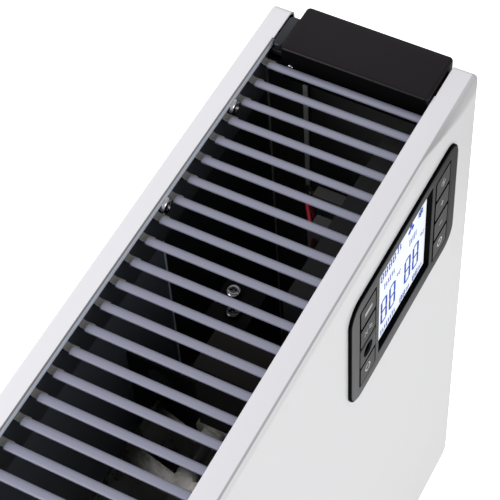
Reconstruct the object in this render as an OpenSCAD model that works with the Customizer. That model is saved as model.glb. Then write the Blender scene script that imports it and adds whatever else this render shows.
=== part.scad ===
// Low convector heater with a fan: two folded steel shells, a slatted top grille,
// moulded end caps, a display with keys, a finned element and a cross-flow fan.
// Frame: X to the right, front face towards -Y, Z up, origin on the floor at the centre.

/* [Shells] */
// Width over the two steel shells
body_w = 597; // [561:4:661]
// Depth from the front face to the rear face
body_d = 108; // [104:1:124]
// Height of the shells
shell_h = 353; // [330:1:400]
// Height of the shells' lower edge above the floor
floor_gap = 42; // [38:1:60]
// Thickness of the sheet steel
sheet_t = 1; // [0.8:0.1:1.4]
// Outside radius of the folds
fold_r = 2.5; // [2:0.1:2.8]
// Radius of the front shell's upper corners, seen from the front
corner_top_r = 3.2; // [3:0.1:8]
// Radius of the rear shell's upper corners, seen from the front
corner_rear_r = 5; // [3:0.1:8]
// Radius of the two lower corners, seen from the front
corner_low_r = 8; // [4:0.5:12]
// Depth of the front shell's flange
front_flange = 12.6; // [11:0.1:15]
// Depth of the rear shell's flange
rear_flange = 10.2; // [9:0.1:13]
// Height of the rear flange's safety lip
lip_h = 4.4; // [3.6:0.1:6]
// Depth of the slats' crest below the flanges
slat_drop = 5.7; // [5.4:0.1:8]
// Radius of the lips' rolled edge
lip_r = 2; // [1.6:0.1:2.2]

/* [Top grille] */
// Distance from slat to slat
slat_pitch = 13; // [11:0.5:16]
// Width of a slat
slat_w = 4.9; // [4:0.1:6]
// Height of a slat's arched section
slat_h = 2.2; // [1.8:0.1:2.4]
// Free width left over at each end of the slats
slat_end = 29.5; // [27:0.5:34]
// Width of the narrow neck at a slat's rear end
neck_w = 3.6; // [2.4:0.1:4]
// Thickness of the neck
neck_t = 0.8; // [0.6:0.1:1]
// Outside bend radius of the neck, where it turns up behind the lip
neck_r = 4.4; // [4:0.1:5]
// Height of the grille's side walls
grille_wall_h = 26; // [18:1:32]
// Thickness of the grille's side walls
grille_wall_t = 0.8; // [0.8:0.1:1.2]
// How many slats from the end the outer grille screws sit
screw_slat_outer = 2; // [1:1:4]
// How many slats from the end the inner grille screws sit
screw_slat_inner = 7; // [6:1:12]

/* [End caps] */
// Gap between the last slat and the cap's block
cap_gap = 1.5; // [1.4:0.1:4]
// How far the cap stands out past the shells
cap_out = 2.4; // [2:0.1:6]
// Height of the cap's block above the flanges
cap_rise = 2; // [1:0.1:5]
// Gap between the cap's block and the front flange
cap_gap_front = 1.4; // [1:0.1:5]
// Gap between the cap's block and the rear flange
cap_gap_rear = 6.4; // [5.5:0.1:11]
// Upright corner radius of the block
cap_corner_r = 2.5; // [2.5:0.5:6]
// Radius of the block's top edge
cap_edge_r = 2; // [1:0.5:2]
// Width of the hand grip in the cap's outer face
grip_w = 34; // [26:1:44]
// Height of the hand grip
grip_h = 96; // [80:1:120]

/* [Display and keys] */
// Width of the control bezel
bezel_w = 116; // [110:1:118]
// Height of the control bezel
bezel_h = 78.4; // [76:0.2:84]
// Corner radius of the bezel
bezel_r = 11; // [8:0.5:13]
// How far the bezel stands out of the front face
bezel_out = 1.7; // [1.2:0.1:2.4]
// Distance of the bezel's right edge from the shells' right end
bezel_from_end = 24.2; // [23:0.2:30]
// Distance of the bezel's top edge below the top flange
bezel_from_top = 18.6; // [16:0.2:30]
// Width of the display window
window_w = 57.7; // [50:0.1:59]
// Height of the display window
window_h = 62.4; // [56:0.1:64]
// Distance of the window's top edge below the bezel's top edge
window_from_top = 6.1; // [5:0.1:8]
// Depth of the display glass below the bezel's face
window_depth = 2.9; // [2:0.1:3.4]
// Width of a key
key_w = 16.4; // [13:0.2:17]
// Distance from key to key
key_pitch = 15.7; // [14:0.1:16]
// Gap between two keys
key_gap = 1; // [0.8:0.1:1.4]
// Clearance between a key and its pocket
key_clear = 0.5; // [0.3:0.1:0.7]
// Wall between the window and a key pocket
key_wall = 3.1; // [2:0.1:4]
// Travel of a key
key_travel = 0.8; // [0.4:0.1:1]
// Radius of a key's stem
stem_r = 2; // [1.5:0.1:2.5]

/* [Heating] */
// Radius of the element's sheath
sheath_r = 6; // [5:0.5:8]
// Length of an element fin
fin_len = 27; // [20:1:30]
// Height of the element's axis above the floor
element_z = 288; // [240:1:310]
// Distance of the heat shields from the shells' inner faces
shield_gap = 6; // [5:0.5:9]
// Height of the shields' lower edge above the floor
shield_low = 150; // [140:5:180]
// Distance of the rear shield's end from the shells' right end
control_bay = 129; // [119:1:134]
// Distance of the element's left end from the shells' left end
element_margin = 50; // [44:1:64]
// Distance of the control partition from the shells' right end
part_from_end = 191; // [189:1:199]

/* [Fan] */
// Radius over the fan's blades
rotor_r = 24; // [20:0.5:27]
// Length of the fan's rotor
rotor_len = 180; // [140:5:220]
// Distance of the rotor's left end from the shells' left end
rotor_margin = 149.5; // [104.5:5:159.5]
// Number of blades
blade_n = 24; // [16:1:30]
// Radius of the fan's shaft
shaft_r = 3; // [2.5:0.5:4]
// Height of the fan's axis above the bottom plate
rotor_rise = 44; // [40:1:60]
// Radial clearance of shaft and sheath in their bores
run_clear = 0.05; // [0.02:0.01:0.09]

/* [Feet] */
// Length of a foot from front to rear
foot_len = 216; // [180:2:260]
// Width of a foot
foot_w = 40; // [34:1:50]
// Distance of a foot's centre line from the shells' end
foot_from_end = 102.5; // [76.5:2:124.5]
// Height of a foot's rubber pad
pad_h = 3; // [2:0.5:4]
// Radius of a rubber pad
pad_r = 8; // [6:0.5:10]

/* [Fasteners] */
// Radius of the larger screws' heads
head_r = 4.25; // [3.6:0.05:4.6]
// Radius of the larger screws' shanks
shank_r = 1.75; // [1.5:0.05:2]
// Radius of the small screws' heads
small_head_r = 2.4; // [1.8:0.1:2.6]

/* [Hidden] */
$fn = 48;
cut = 1;
overlap = 0.3;

// Main levels and faces
shell_low = floor_gap;
shell_top = floor_gap + shell_h;
front_y = -body_d / 2;
rear_y = body_d / 2;
end_x = body_w / 2;
in_front = front_y + sheet_t;
in_rear = rear_y - sheet_t;
flange_front_y = front_y + front_flange;
flange_rear_y = rear_y - rear_flange;
slat_top = shell_top - slat_drop;
slat_n = floor((body_w - 2 * slat_end - slat_w) / slat_pitch + 0.01) + 1;
slat_x0 = -(slat_n - 1) * slat_pitch / 2;
slat_last = slat_x0 + (slat_n - 1) * slat_pitch;
cap_x = slat_last + slat_w / 2 + cap_gap;
cap_len = end_x + cap_out - cap_x;
lip_end = cap_x + 6;
grille_end = cap_x - 0.3;
grille_low = slat_top - grille_wall_h;
rear_wall_y = flange_rear_y + sheet_t + 0.5;
plate_top = shell_low + 2 * sheet_t;
front_wall_y = flange_front_y - 4.6;
cap_front_y = flange_front_y + cap_gap_front;
cap_rear_y = flange_rear_y - cap_gap_rear;
cap_d = cap_rear_y - cap_front_y;
cap_mid_y = (cap_rear_y + cap_front_y) / 2;
frame_x = end_x - 15;
frame_top = grille_low + 8;
screw_z = shell_top - lip_h - shank_r - 0.2;
screw_side = neck_w / 2 + head_r + 0.1;
grille_screw_x = [for (s = [-1, 1]) for (k = [screw_slat_outer, screw_slat_inner])
    s * (slat_last - k * slat_pitch - screw_side)];
tab_w = 14;
tab_drop = 8;
lead_r = 1.3;

// Bezel and keys
bezel_x = end_x - bezel_from_end - bezel_w / 2;
bezel_z = shell_top - bezel_from_top - bezel_h / 2;
face_t = 0.3;
bezel_lip = 2.2;
bezel_back = in_front + 6;
window_z = bezel_z + bezel_h / 2 - window_from_top - window_h / 2;
glass_y = front_y - bezel_out + window_depth;
glass_t = 1.2;
key_h = key_pitch - key_gap;
key_cols = [-1, 1] * (window_w / 2 + key_wall + key_clear + key_w / 2);
key_z0 = window_z + 1.5 * key_pitch - 2.2;
key_face_y = front_y - bezel_out - 0.2;
key_t = 3.2;
pocket_floor_y = bezel_back - 2;
switch_h = 3.5;
stem_end_y = bezel_back + 1;
board_y = stem_end_y + key_travel + 0.2 + switch_h;
board_t = 1.6;
housing_wall = 2;
housing_w = bezel_w - 4;
housing_h = bezel_h + 2;
housing_x = bezel_x - 7;
housing_back = flange_front_y + 17;
housing_top = bezel_z + housing_h / 2;
front_wall_low = housing_top + 0.8;
board_w = housing_w - 2 * housing_wall - 1;
board_h = housing_h - 2 * housing_wall - 2;

// Heating chamber
shield_x = end_x - control_bay;
shield_rear_y = in_rear - shield_gap;
shield_front_y = in_front + shield_gap;
shield_top = grille_low + 10;
element_left = -end_x + element_margin;
element_right = shield_x - 30;
bracket_x = [element_left + 12, element_right - 12];
part_x = end_x - part_from_end;
part_rear_y = flange_front_y + 37.4;
part_top = shell_top - 21;
part_low = element_z + 38;

// Fan
rotor_x0 = -end_x + rotor_margin;
rotor_y = 2;
rotor_z = plate_top + rotor_rise;
scroll_r = rotor_r + 5;
scroll_t = 1.2;
scroll_end = 4;
motor_gap = 12;
motor_x = rotor_x0 + rotor_len + motor_gap;
motor_len = 30;
motor_seat = motor_gap - scroll_end - scroll_t;

// Feet
foot_x = end_x - foot_from_end;
foot_top = shell_low;
foot_screw_y = [-36, 36];
pad_y = foot_len / 2 - pad_r - 4;

// A rectangle with rounded corners, centred
module round_rect(w, h, r) {
    square([w - 2 * r, h], center = true);
    square([w, h - 2 * r], center = true);
    for (x = [-1, 1], y = [-1, 1])
        translate([x * (w / 2 - r), y * (h / 2 - r)]) circle(r);
}

// A slot with round ends along X, centred
module slot(len, wid) {
    square([len - wid, wid], center = true);
    for (x = [-1, 1]) translate([x * (len - wid) / 2, 0]) circle(wid / 2, $fn = 24);
}

// A quarter of a disc in the first quadrant
module quarter(r) {
    intersection() {
        circle(r);
        square([r, r]);
    }
}

// A block with round upright corners r and a round top edge f, standing on z = 0
module soft_block(w, d, h, r, f) {
    linear_extrude(h - f) round_rect(w, d, r);
    translate([0, 0, h - f]) linear_extrude(f) square([w - 2 * r, d - 2 * f], center = true);
    translate([0, 0, h - f]) linear_extrude(f) square([w - 2 * f, d - 2 * r], center = true);
    for (x = [-1, 1], y = [-1, 1])
        translate([x * (w / 2 - r), y * (d / 2 - r), h - f]) rotate_extrude() {
            square([r - f, f]);
            translate([r - f, 0]) quarter(f);
        }
    for (m = [0, 1]) {
        mirror([m, 0, 0]) translate([w / 2 - f, d / 2 - r, h - f])
            rotate([90, 0, 0]) linear_extrude(d - 2 * r) quarter(f);
        mirror([0, m, 0]) translate([-w / 2 + r, d / 2 - f, h - f])
            rotate([90, 0, 90]) linear_extrude(w - 2 * r) quarter(f);
    }
}

// Puts a shape drawn in x and z, growing towards the viewer, on the plane y
module facing_front(x, y, z) {
    translate([x, y, z]) rotate([90, 0, 0]) children();
}

// Extrudes a section drawn in y and z along X from x0 to x1
module along_x(x0, x1) {
    translate([x0, 0, 0]) rotate([90, 0, 90]) linear_extrude(x1 - x0) children();
}

module at_both_ends() {
    children();
    mirror([1, 0, 0]) children();
}

// One wall of a folded pan: flange and fold, with the outside at radius rc
module pan_section(rc, depth) {
    translate([rc - sheet_t, fold_r]) square([sheet_t, depth - fold_r]);
    translate([rc - fold_r, fold_r]) intersection() {
        difference() {
            circle(fold_r);
            circle(fold_r - sheet_t);
        }
        translate([0, -fold_r]) square([fold_r, fold_r]);
    }
}

// The flat of the pan inside its folds
module pan_face(top_r) {
    rt = top_r - fold_r;
    rb = corner_low_r - fold_r;
    w = body_w - 2 * fold_r;
    h = shell_h - 2 * fold_r;
    translate([-w / 2, -h / 2 + rb]) square([w, h - rb - rt]);
    translate([-w / 2 + rt, 0]) square([w - 2 * rt, h / 2]);
    translate([-w / 2 + rb, -h / 2]) square([w - 2 * rb, h / 2]);
    for (x = [-1, 1]) {
        translate([x * (w / 2 - rt), h / 2 - rt]) circle(rt);
        translate([x * (w / 2 - rb), -h / 2 + rb]) circle(rb);
    }
}

// A folded pan lying on its face, x across, y up, flanges towards +z
module pan(depth, top_r) {
    linear_extrude(sheet_t) pan_face(top_r);
    for (m = [0, 1]) mirror([m, 0, 0]) {
        translate([end_x, shell_h / 2 - top_r, 0]) rotate([90, 0, 0])
            linear_extrude(shell_h - top_r - corner_low_r) pan_section(0, depth);
        translate([end_x - top_r, shell_h / 2 - top_r, 0])
            rotate_extrude(angle = 90) pan_section(top_r, depth);
        mirror([0, 1, 0]) translate([end_x - corner_low_r, shell_h / 2 - corner_low_r, 0])
            rotate_extrude(angle = 90) pan_section(corner_low_r, depth);
    }
    translate([-end_x + top_r, shell_h / 2, 0]) rotate([90, 0, 90])
        linear_extrude(body_w - 2 * top_r) pan_section(0, depth);
    mirror([0, 1, 0]) translate([-end_x + corner_low_r, shell_h / 2, 0]) rotate([90, 0, 90])
        linear_extrude(body_w - 2 * corner_low_r) pan_section(0, depth);
}

// Rolled lip on a flange's inner edge, for a flange that comes from +Y
module lip_section(edge_y, height) {
    translate([edge_y + lip_r, shell_top - lip_r]) intersection() {
        difference() {
            circle(lip_r);
            circle(lip_r - sheet_t);
        }
        translate([-lip_r, 0]) square([lip_r, lip_r]);
    }
    translate([edge_y + lip_r - overlap, shell_top - sheet_t]) square([2 * overlap, sheet_t]);
    translate([edge_y, shell_top - height]) square([sheet_t, height - lip_r + overlap]);
}

// A pan with a lip along the top flange between the end caps
module lipped_pan(edge_y, depth, height, top_r) {
    difference() {
        translate([0, edge_y + depth, shell_low + shell_h / 2]) rotate([90, 0, 0]) pan(depth, top_r);
        translate([-lip_end, edge_y - cut, shell_top - 2 * sheet_t])
            cube([2 * lip_end, lip_r + cut, 3 * sheet_t]);
    }
    difference() {
        along_x(-lip_end, lip_end) lip_section(edge_y, height);
        at_both_ends() translate([lip_end, edge_y - cut, shell_top - height])
            rotate([-90, 0, 0]) cylinder(r = height - lip_r, h = 2 * cut + lip_r);
    }
}

module front_shell() {
    color("white") difference() {
        mirror([0, 1, 0]) lipped_pan(-flange_front_y, front_flange, 3, corner_top_r);
        facing_front(bezel_x, in_front + cut, bezel_z) linear_extrude(sheet_t + 2 * cut)
            round_rect(bezel_w - 2 * bezel_lip + 0.4, bezel_h - 2 * bezel_lip + 0.4, bezel_r - bezel_lip);
    }
}

// Rear intake slots, their rows and columns
slot_len = 44;
slot_wid = 4;
slot_cols = 8;
slot_rows = 6;
slot_dx = 54;
slot_dz = 11;
slot_low_z = shell_low + 26;
gland_x = end_x - 46;
gland_z = shell_low + 34;
gland_r = 8;
shell_screw_z = [shell_low + 20, shell_low + shell_h / 2, shell_top - 60];

module rear_slots() {
    for (c = [0:slot_cols - 1], r = [0:slot_rows - 1])
        translate([(c - (slot_cols - 1) / 2) * slot_dx, rear_y + cut, slot_low_z + r * slot_dz])
            rotate([90, 0, 0]) linear_extrude(sheet_t + 2 * cut) slot(slot_len, slot_wid);
}

module rear_shell() {
    color("white") difference() {
        union() {
            lipped_pan(flange_rear_y, rear_flange, lip_h, corner_rear_r);
            for (x = grille_screw_x)
                translate([x - tab_w / 2, rear_wall_y + grille_wall_t, screw_z - tab_drop])
                    cube([tab_w, sheet_t, shell_top - sheet_t + overlap - screw_z + tab_drop]);
        }
        rear_slots();
        for (x = grille_screw_x) translate([x, rear_wall_y, screw_z])
            rotate([-90, 0, 0]) cylinder(r = shank_r, h = grille_wall_t + sheet_t + cut);
        for (s = [-1, 1], z = shell_screw_z) translate([s * (frame_x + 7), rear_y + cut, z])
            rotate([90, 0, 0]) cylinder(r = shank_r, h = sheet_t + 2 * cut);
        translate([gland_x, rear_y + cut, gland_z]) rotate([90, 0, 0])
            cylinder(r = gland_r, h = sheet_t + 2 * cut);
    }
}

// Arched cross-section of a slat, flat side down, top at z = 0
module slat_section() {
    arc_r = slat_w / 2 + 0.4;
    translate([0, -slat_h]) intersection() {
        translate([0, slat_h - arc_r]) circle(arc_r);
        translate([-slat_w / 2, 0]) square([slat_w, slat_h]);
    }
}

// Side view of a slat's body in y and z, with its round rear end
slat_front_y = front_wall_y - grille_wall_t / 2;
slat_rear_y = flange_rear_y - 2.6;
module slat_side() {
    translate([slat_front_y, slat_top - slat_h]) square([slat_rear_y - slat_h - slat_front_y, slat_h]);
    translate([slat_rear_y - slat_h, slat_top - slat_h]) quarter(slat_h);
}

// Side view of the neck that bends up behind the lip and joins the rear wall
module neck_side() {
    bend_y = rear_wall_y + grille_wall_t - neck_r;
    bend_z = shell_top - lip_h + 1.2;
    translate([slat_rear_y - 3, bend_z - neck_r]) square([bend_y - slat_rear_y + 3, neck_t]);
    translate([bend_y, bend_z]) intersection() {
        difference() {
            circle(neck_r);
            circle(neck_r - neck_t);
        }
        translate([0, -neck_r]) square([neck_r, neck_r]);
    }
}

module one_slat() {
    intersection() {
        translate([0, slat_front_y, slat_top]) rotate([-90, 0, 0]) mirror([0, 1, 0])
            linear_extrude(slat_rear_y - slat_front_y) slat_section();
        along_x(-slat_w, slat_w) slat_side();
    }
    along_x(-neck_w / 2, neck_w / 2) neck_side();
}

module top_grille() {
    color("lightsteelblue") difference() {
        union() {
            for (i = [0:slat_n - 1]) translate([slat_x0 + i * slat_pitch, 0, 0]) one_slat();
            translate([-grille_end, rear_wall_y, grille_low])
                cube([2 * grille_end, grille_wall_t, shell_top - sheet_t - 0.4 - grille_low]);
            translate([-grille_end, front_wall_y - grille_wall_t, front_wall_low])
                cube([2 * grille_end, grille_wall_t, shell_top - sheet_t - front_wall_low]);
        }
        for (x = grille_screw_x) translate([x, rear_wall_y - cut, screw_z])
            rotate([-90, 0, 0]) cylinder(r = shank_r, h = grille_wall_t + 2 * cut);
    }
}

// A pan-head screw, head towards +z, its seat at z = 0
module pan_screw(hr, sr, len, hh) {
    translate([0, 0, -len]) cylinder(r = sr, h = len);
    intersection() {
        cylinder(r = hr, h = hh);
        translate([0, 0, hh - (hr * hr + hh * hh) / (2 * hh) ]) sphere((hr * hr + hh * hh) / (2 * hh));
    }
}

module grille_screws() {
    color("silver") for (x = grille_screw_x)
        translate([x, flange_rear_y, screw_z]) rotate([90, 0, 0])
            pan_screw(head_r, shank_r, rear_wall_y - flange_rear_y + grille_wall_t + sheet_t + 2, 2.4);
}

module bottom_plate() {
    plate_x = frame_x + sheet_t;
    plate_y = body_d / 2 - 4;
    color("gray") translate([0, 0, shell_low + sheet_t]) difference() {
        translate([-plate_x, -plate_y, 0]) cube([2 * plate_x, 2 * plate_y, sheet_t]);
        for (c = [-4:4], r = [-2:2]) translate([c * 40, r * 14, -cut])
            linear_extrude(sheet_t + 2 * cut) slot(28, 5);
        for (s = [-1, 1], y = foot_screw_y) translate([s * foot_x, y, -cut])
            cylinder(r = shank_r + 0.2, h = sheet_t + 2 * cut);
    }
}

// Right end cap: block, ledges beside it, side wall, tongue and fixing bosses
ledge_z = shell_top - 3.5;
side_x = end_x - 2.5;
tongue_t = 2.4;
tongue_x = end_x - sheet_t - tongue_t;
cap_wall = 2.5;
grip_floor = frame_x + sheet_t + 3.5;
grip_z = shell_top - 60 - grip_h / 2;
cap_low = shell_low + 0.8;
block_low = shell_top - 18;
cap_boss_z = [shell_low + 60, shell_low + shell_h / 2, shell_top - 90];
cap_screw_y = cap_rear_y - 5.5;
cap_screw_z = slat_top - 3.6;

// Convex strip on the rear ledge, seen along X
module ledge_strip() {
    r = 12;
    translate([cap_rear_y + cap_gap_rear / 2, shell_top - 0.4 - r]) intersection() {
        circle(r, $fn = 96);
        translate([-cap_gap_rear / 2 - 0.5, r - 4]) square([cap_gap_rear + 0.2, 4]);
    }
}

module end_cap() {
    rib_x = side_x - 3;
    outer_x = end_x + cap_out;
    ledge_y0 = flange_front_y + 0.3;
    ledge_y1 = flange_rear_y - 0.3;
    difference() {
        union() {
            translate([cap_x + cap_len / 2, cap_mid_y, block_low])
                soft_block(cap_len, cap_d, shell_top + cap_rise - block_low, cap_corner_r, cap_edge_r);
            translate([(rib_x + outer_x) / 2, cap_mid_y, cap_low]) linear_extrude(block_low + 2 - cap_low)
                round_rect(outer_x - rib_x, cap_d, cap_corner_r);
            translate([rib_x, ledge_y0, cap_low]) cube([side_x - rib_x, ledge_y1 - ledge_y0, ledge_z - cap_low]);
            translate([tongue_x, ledge_y0 - 5, cap_low + 6])
                cube([tongue_t, ledge_y1 - ledge_y0 + 10, ledge_z - cap_low - 12]);
            translate([cap_x + 2, ledge_y0, ledge_z - 3]) cube([side_x - cap_x - 2, ledge_y1 - ledge_y0, 3]);
            along_x(cap_x + 2, side_x - 1.5) ledge_strip();
            for (z = cap_boss_z, y = [-28, 28]) translate([frame_x + sheet_t, y, z])
                rotate([0, 90, 0]) cylinder(r = 5, h = tongue_x - frame_x - sheet_t + 1);
            translate([grip_floor - cap_wall, cap_mid_y, grip_z]) rotate([0, 90, 0])
                linear_extrude(rib_x - grip_floor + cap_wall + 1)
                    round_rect(grip_h + 2 * cap_wall, grip_w + 2 * cap_wall, 12 + cap_wall);
        }
        translate([grip_floor, cap_mid_y, grip_z])
            rotate([0, 90, 0]) linear_extrude(outer_x - grip_floor + cut) round_rect(grip_h, grip_w, 12);
        translate([cap_x + cap_wall, cap_front_y + cap_wall, block_low - cut])
            cube([rib_x - cap_x - cap_wall, cap_d - 2 * cap_wall, shell_top - 6 - block_low + cut]);
        translate([cap_x - cut, cap_screw_y, cap_screw_z])
            rotate([0, 90, 0]) cylinder(r = 1.1, h = cap_wall + 2 * cut);
    }
}
module right_end_cap() { color("dimgray") end_cap(); }
module left_end_cap() { color("dimgray") mirror([1, 0, 0]) end_cap(); }

module cap_screws() {
    color("silver") at_both_ends() translate([cap_x, cap_screw_y, cap_screw_z])
        rotate([0, -90, 0]) pan_screw(small_head_r, 1.1, cap_wall + 1.5, 1.3);
}

// Right end frame: plate with flanges and a pressed upright rib
rib_y = flange_rear_y - 15.4;
module end_frame() {
    h = frame_top - plate_top;
    difference() {
        union() {
            translate([frame_x, in_front, plate_top]) cube([sheet_t, in_rear - in_front, h]);
            translate([frame_x - 3, rib_y, plate_top + 8]) cube([3 + sheet_t, 9.8, h - 16]);
            for (y = [in_rear - sheet_t, in_front])
                translate([frame_x, y, plate_top + 10]) cube([11, sheet_t, h - 30]);
        }
        translate([frame_x - 2, rib_y + 1, plate_top + 9]) cube([3 + 2 * cut, 7.8, h - 18]);
        for (z = shell_screw_z) translate([frame_x + 7, in_rear + cut, z])
            rotate([90, 0, 0]) cylinder(r = shank_r, h = sheet_t + 2 * cut);
    }
}
module right_end_frame() { color("silver") end_frame(); }
module left_end_frame() { color("silver") mirror([1, 0, 0]) end_frame(); }

module shell_screws() {
    color("silver") for (s = [-1, 1], z = shell_screw_z)
        translate([s * (frame_x + 7), rear_y, z]) rotate([-90, 0, 0])
            pan_screw(head_r - 0.7, shank_r, 5, 2.2);
}

// A foot: long low shoe with a riser under the body, drawn in y and z
module foot_side() {
    shoe_h = 13;
    half = foot_len / 2;
    translate([-half + shoe_h / 2, pad_h]) square([foot_len - shoe_h, shoe_h]);
    for (s = [-1, 1]) {
        translate([s * (half - shoe_h / 2), pad_h + shoe_h / 2]) circle(shoe_h / 2);
        translate([s * (half - shoe_h / 2) - shoe_h / 2, pad_h]) square([shoe_h, shoe_h / 2]);
    }
    difference() {
        translate([-half + 24, pad_h + shoe_h - 1]) square([foot_len - 48, foot_top - pad_h - shoe_h + 1]);
        for (s = [-1, 1]) translate([s * (half - 24), foot_top])
            circle(r = foot_top - pad_h - shoe_h, $fn = 72);
    }
}

module foot(x) {
    difference() {
        along_x(x - foot_w / 2, x + foot_w / 2) {
            foot_side();
            translate([flange_front_y + 0.5, foot_top - 1])
                square([flange_rear_y - flange_front_y - 1, 1 + sheet_t]);
        }
        for (y = foot_screw_y) {
            translate([x, y, pad_h - cut]) cylinder(r = head_r + 0.7, h = foot_top - pad_h - 8 + cut);
            translate([x, y, pad_h]) cylinder(r = shank_r + 0.2, h = foot_top);
        }
        for (s = [-1, 1]) translate([x, s * pad_y, pad_h - cut]) cylinder(r = 3, h = 5 + cut);
    }
}
module right_foot() { color("black") foot(foot_x); }
module left_foot() { color("black") foot(-foot_x); }

module foot_pads() {
    color("darkslategray") for (x = [-1, 1], y = [-1, 1])
        translate([x * foot_x, y * pad_y, 0]) {
            cylinder(r1 = pad_r - 0.8, r2 = pad_r, h = 0.8);
            translate([0, 0, 0.8]) cylinder(r = pad_r, h = pad_h - 0.8);
            translate([0, 0, pad_h]) cylinder(r = 2.9, h = 4.6);
        }
}

module foot_screws() {
    color("silver") for (s = [-1, 1], y = foot_screw_y)
        translate([s * foot_x, y, foot_top - 8]) mirror([0, 0, 1])
            pan_screw(head_r, shank_r, 8 + 2 * sheet_t + 3, 2.6);
}

// Bezel: a lip over the panel, a body through it, a window and two key pockets
module bezel_holes(extra) {
    translate([0, window_z - bezel_z]) round_rect(window_w + extra, window_h + extra, 1.2);
    for (c = key_cols) translate([c, key_z0 - 1.5 * key_pitch - bezel_z])
        round_rect(key_w + 2 * key_clear + extra, 4 * key_pitch - key_gap + 2 * key_clear + extra, 1.6);
}

module bezel_frame() {
    color("black") difference() {
        union() {
            facing_front(bezel_x, front_y, bezel_z)
                linear_extrude(bezel_out - face_t) round_rect(bezel_w, bezel_h, bezel_r);
            facing_front(bezel_x, bezel_back, bezel_z) linear_extrude(bezel_back - front_y)
                round_rect(bezel_w - 2 * bezel_lip, bezel_h - 2 * bezel_lip, bezel_r - bezel_lip);
        }
        facing_front(bezel_x, pocket_floor_y, bezel_z) linear_extrude(20) bezel_holes(0);
        facing_front(bezel_x, bezel_back + cut, window_z) linear_extrude(20)
            round_rect(window_w, window_h, 1.2);
        for (c = [0, 1], i = [0:3]) if (c == 1 || i != 2)
            facing_front(bezel_x + key_cols[c], bezel_back + cut, key_z0 - i * key_pitch)
                cylinder(r = stem_r + 0.1, h = 2 + 2 * cut);
    }
}

module bezel_face() {
    color("dimgray") facing_front(bezel_x, front_y - bezel_out + face_t, bezel_z)
        linear_extrude(face_t) difference() {
            round_rect(bezel_w - 1, bezel_h - 1, bezel_r - 0.5);
            bezel_holes(0.2);
        }
}

module display_lens() {
    color([0.8, 0.9, 1, 0.4]) facing_front(bezel_x, glass_y + glass_t, window_z)
        linear_extrude(glass_t) round_rect(window_w - 0.4, window_h - 0.4, 1);
}

module display_module() {
    color("aliceblue") facing_front(bezel_x, board_y, window_z)
        linear_extrude(board_y - glass_y - glass_t) square([window_w - 1, window_h - 1], center = true);
}

// A key: cap with a soft edge, a stem behind it and the stem's snap ring
module key(col, row) {
    stem = stem_end_y - key_face_y - key_t;
    color("gray") facing_front(bezel_x + key_cols[col], key_face_y + key_t, key_z0 - row * key_pitch) {
        soft_block(key_w, key_h, key_t, 1.2, 0.5);
        translate([0, 0, -stem]) {
            cylinder(r = stem_r, h = stem + 0.5);
            cylinder(r = stem_r + 1, h = stem_end_y - bezel_back);
        }
    }
}
module key_light() { key(0, 0); }
module key_mode() { key(0, 1); }
module key_power() { key(0, 3); }
module key_heat() { key(1, 0); }
module key_up() { key(1, 1); }
module key_down() { key(1, 2); }
module key_timer() { key(1, 3); }

receiver_r = 4.6;
module receiver_cell() {
    color("gray") facing_front(bezel_x + key_cols[0], pocket_floor_y, key_z0 - 2 * key_pitch) difference() {
        soft_block(key_w, key_h, pocket_floor_y - key_face_y, 1.2, 0.5);
        translate([0, 0, pocket_floor_y - key_face_y - 2]) cylinder(r = receiver_r, h = 2 + cut);
    }
}
module receiver_lens() {
    color("black") facing_front(bezel_x + key_cols[0], key_face_y + 2, key_z0 - 2 * key_pitch)
        cylinder(r = receiver_r - 0.1, h = 1.7);
}

module control_board() {
    color("green") facing_front(housing_x, board_y + board_t, bezel_z)
        linear_extrude(board_t) square([board_w, board_h], center = true);
}

module key_switches() {
    color("darkgray") for (c = [0, 1], r = [0:3]) if (c == 1 || r != 2)
        facing_front(bezel_x + key_cols[c], board_y, key_z0 - r * key_pitch) {
            translate([-3, -3, 0]) cube([6, 6, switch_h - 0.6]);
            cylinder(r = 1.7, h = switch_h);
        }
}

module control_housing() {
    color("dimgray") facing_front(housing_x, housing_back, bezel_z) {
        difference() {
            linear_extrude(housing_back - bezel_back) round_rect(housing_w, housing_h, 3);
            translate([0, 0, housing_wall]) linear_extrude(housing_back - bezel_back)
                round_rect(housing_w - 2 * housing_wall, housing_h - 2 * housing_wall, 2);
            translate([-housing_w / 4, 0, -cut]) linear_extrude(housing_wall + 2 * cut) slot(24, 9);
        }
        for (x = [-1, 1], y = [-1, 1])
            translate([x * (board_w / 2 - 5), y * (board_h / 2 - 5), housing_wall])
                cylinder(r = 3, h = housing_back - housing_wall - board_y - board_t);
    }
}

// Upright partition beside the controls, with a top and a low screw ear
ear_z = part_top - 5;
part_screws = [[part_x + 44.5, part_rear_y + 4], [part_x + 34.7, part_rear_y - 1]];
module control_partition() {
    color("slategray") difference() {
        union() {
            translate([part_x, in_front, part_low]) cube([sheet_t, part_rear_y - in_front, part_top - part_low]);
            translate([part_x, in_front, part_top - sheet_t]) cube([26, part_rear_y - in_front, sheet_t]);
            translate([part_x + 25, in_front, ear_z - sheet_t])
                cube([sheet_t, part_rear_y - in_front, part_top - ear_z + sheet_t]);
            translate([part_x + 25, part_rear_y - 10, ear_z - sheet_t]) cube([26, 20, sheet_t]);
            translate([part_x, in_front, part_low]) cube([14, sheet_t, part_top - part_low - 2]);
        }
        for (p = part_screws) translate([p[0], p[1], ear_z - sheet_t - cut])
            cylinder(r = shank_r, h = sheet_t + 2 * cut);
    }
}
module partition_screws() {
    color("silver") for (p = part_screws) translate([p[0], p[1], ear_z])
        pan_screw(head_r - 0.5, shank_r, 6, 2.6);
}

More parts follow.
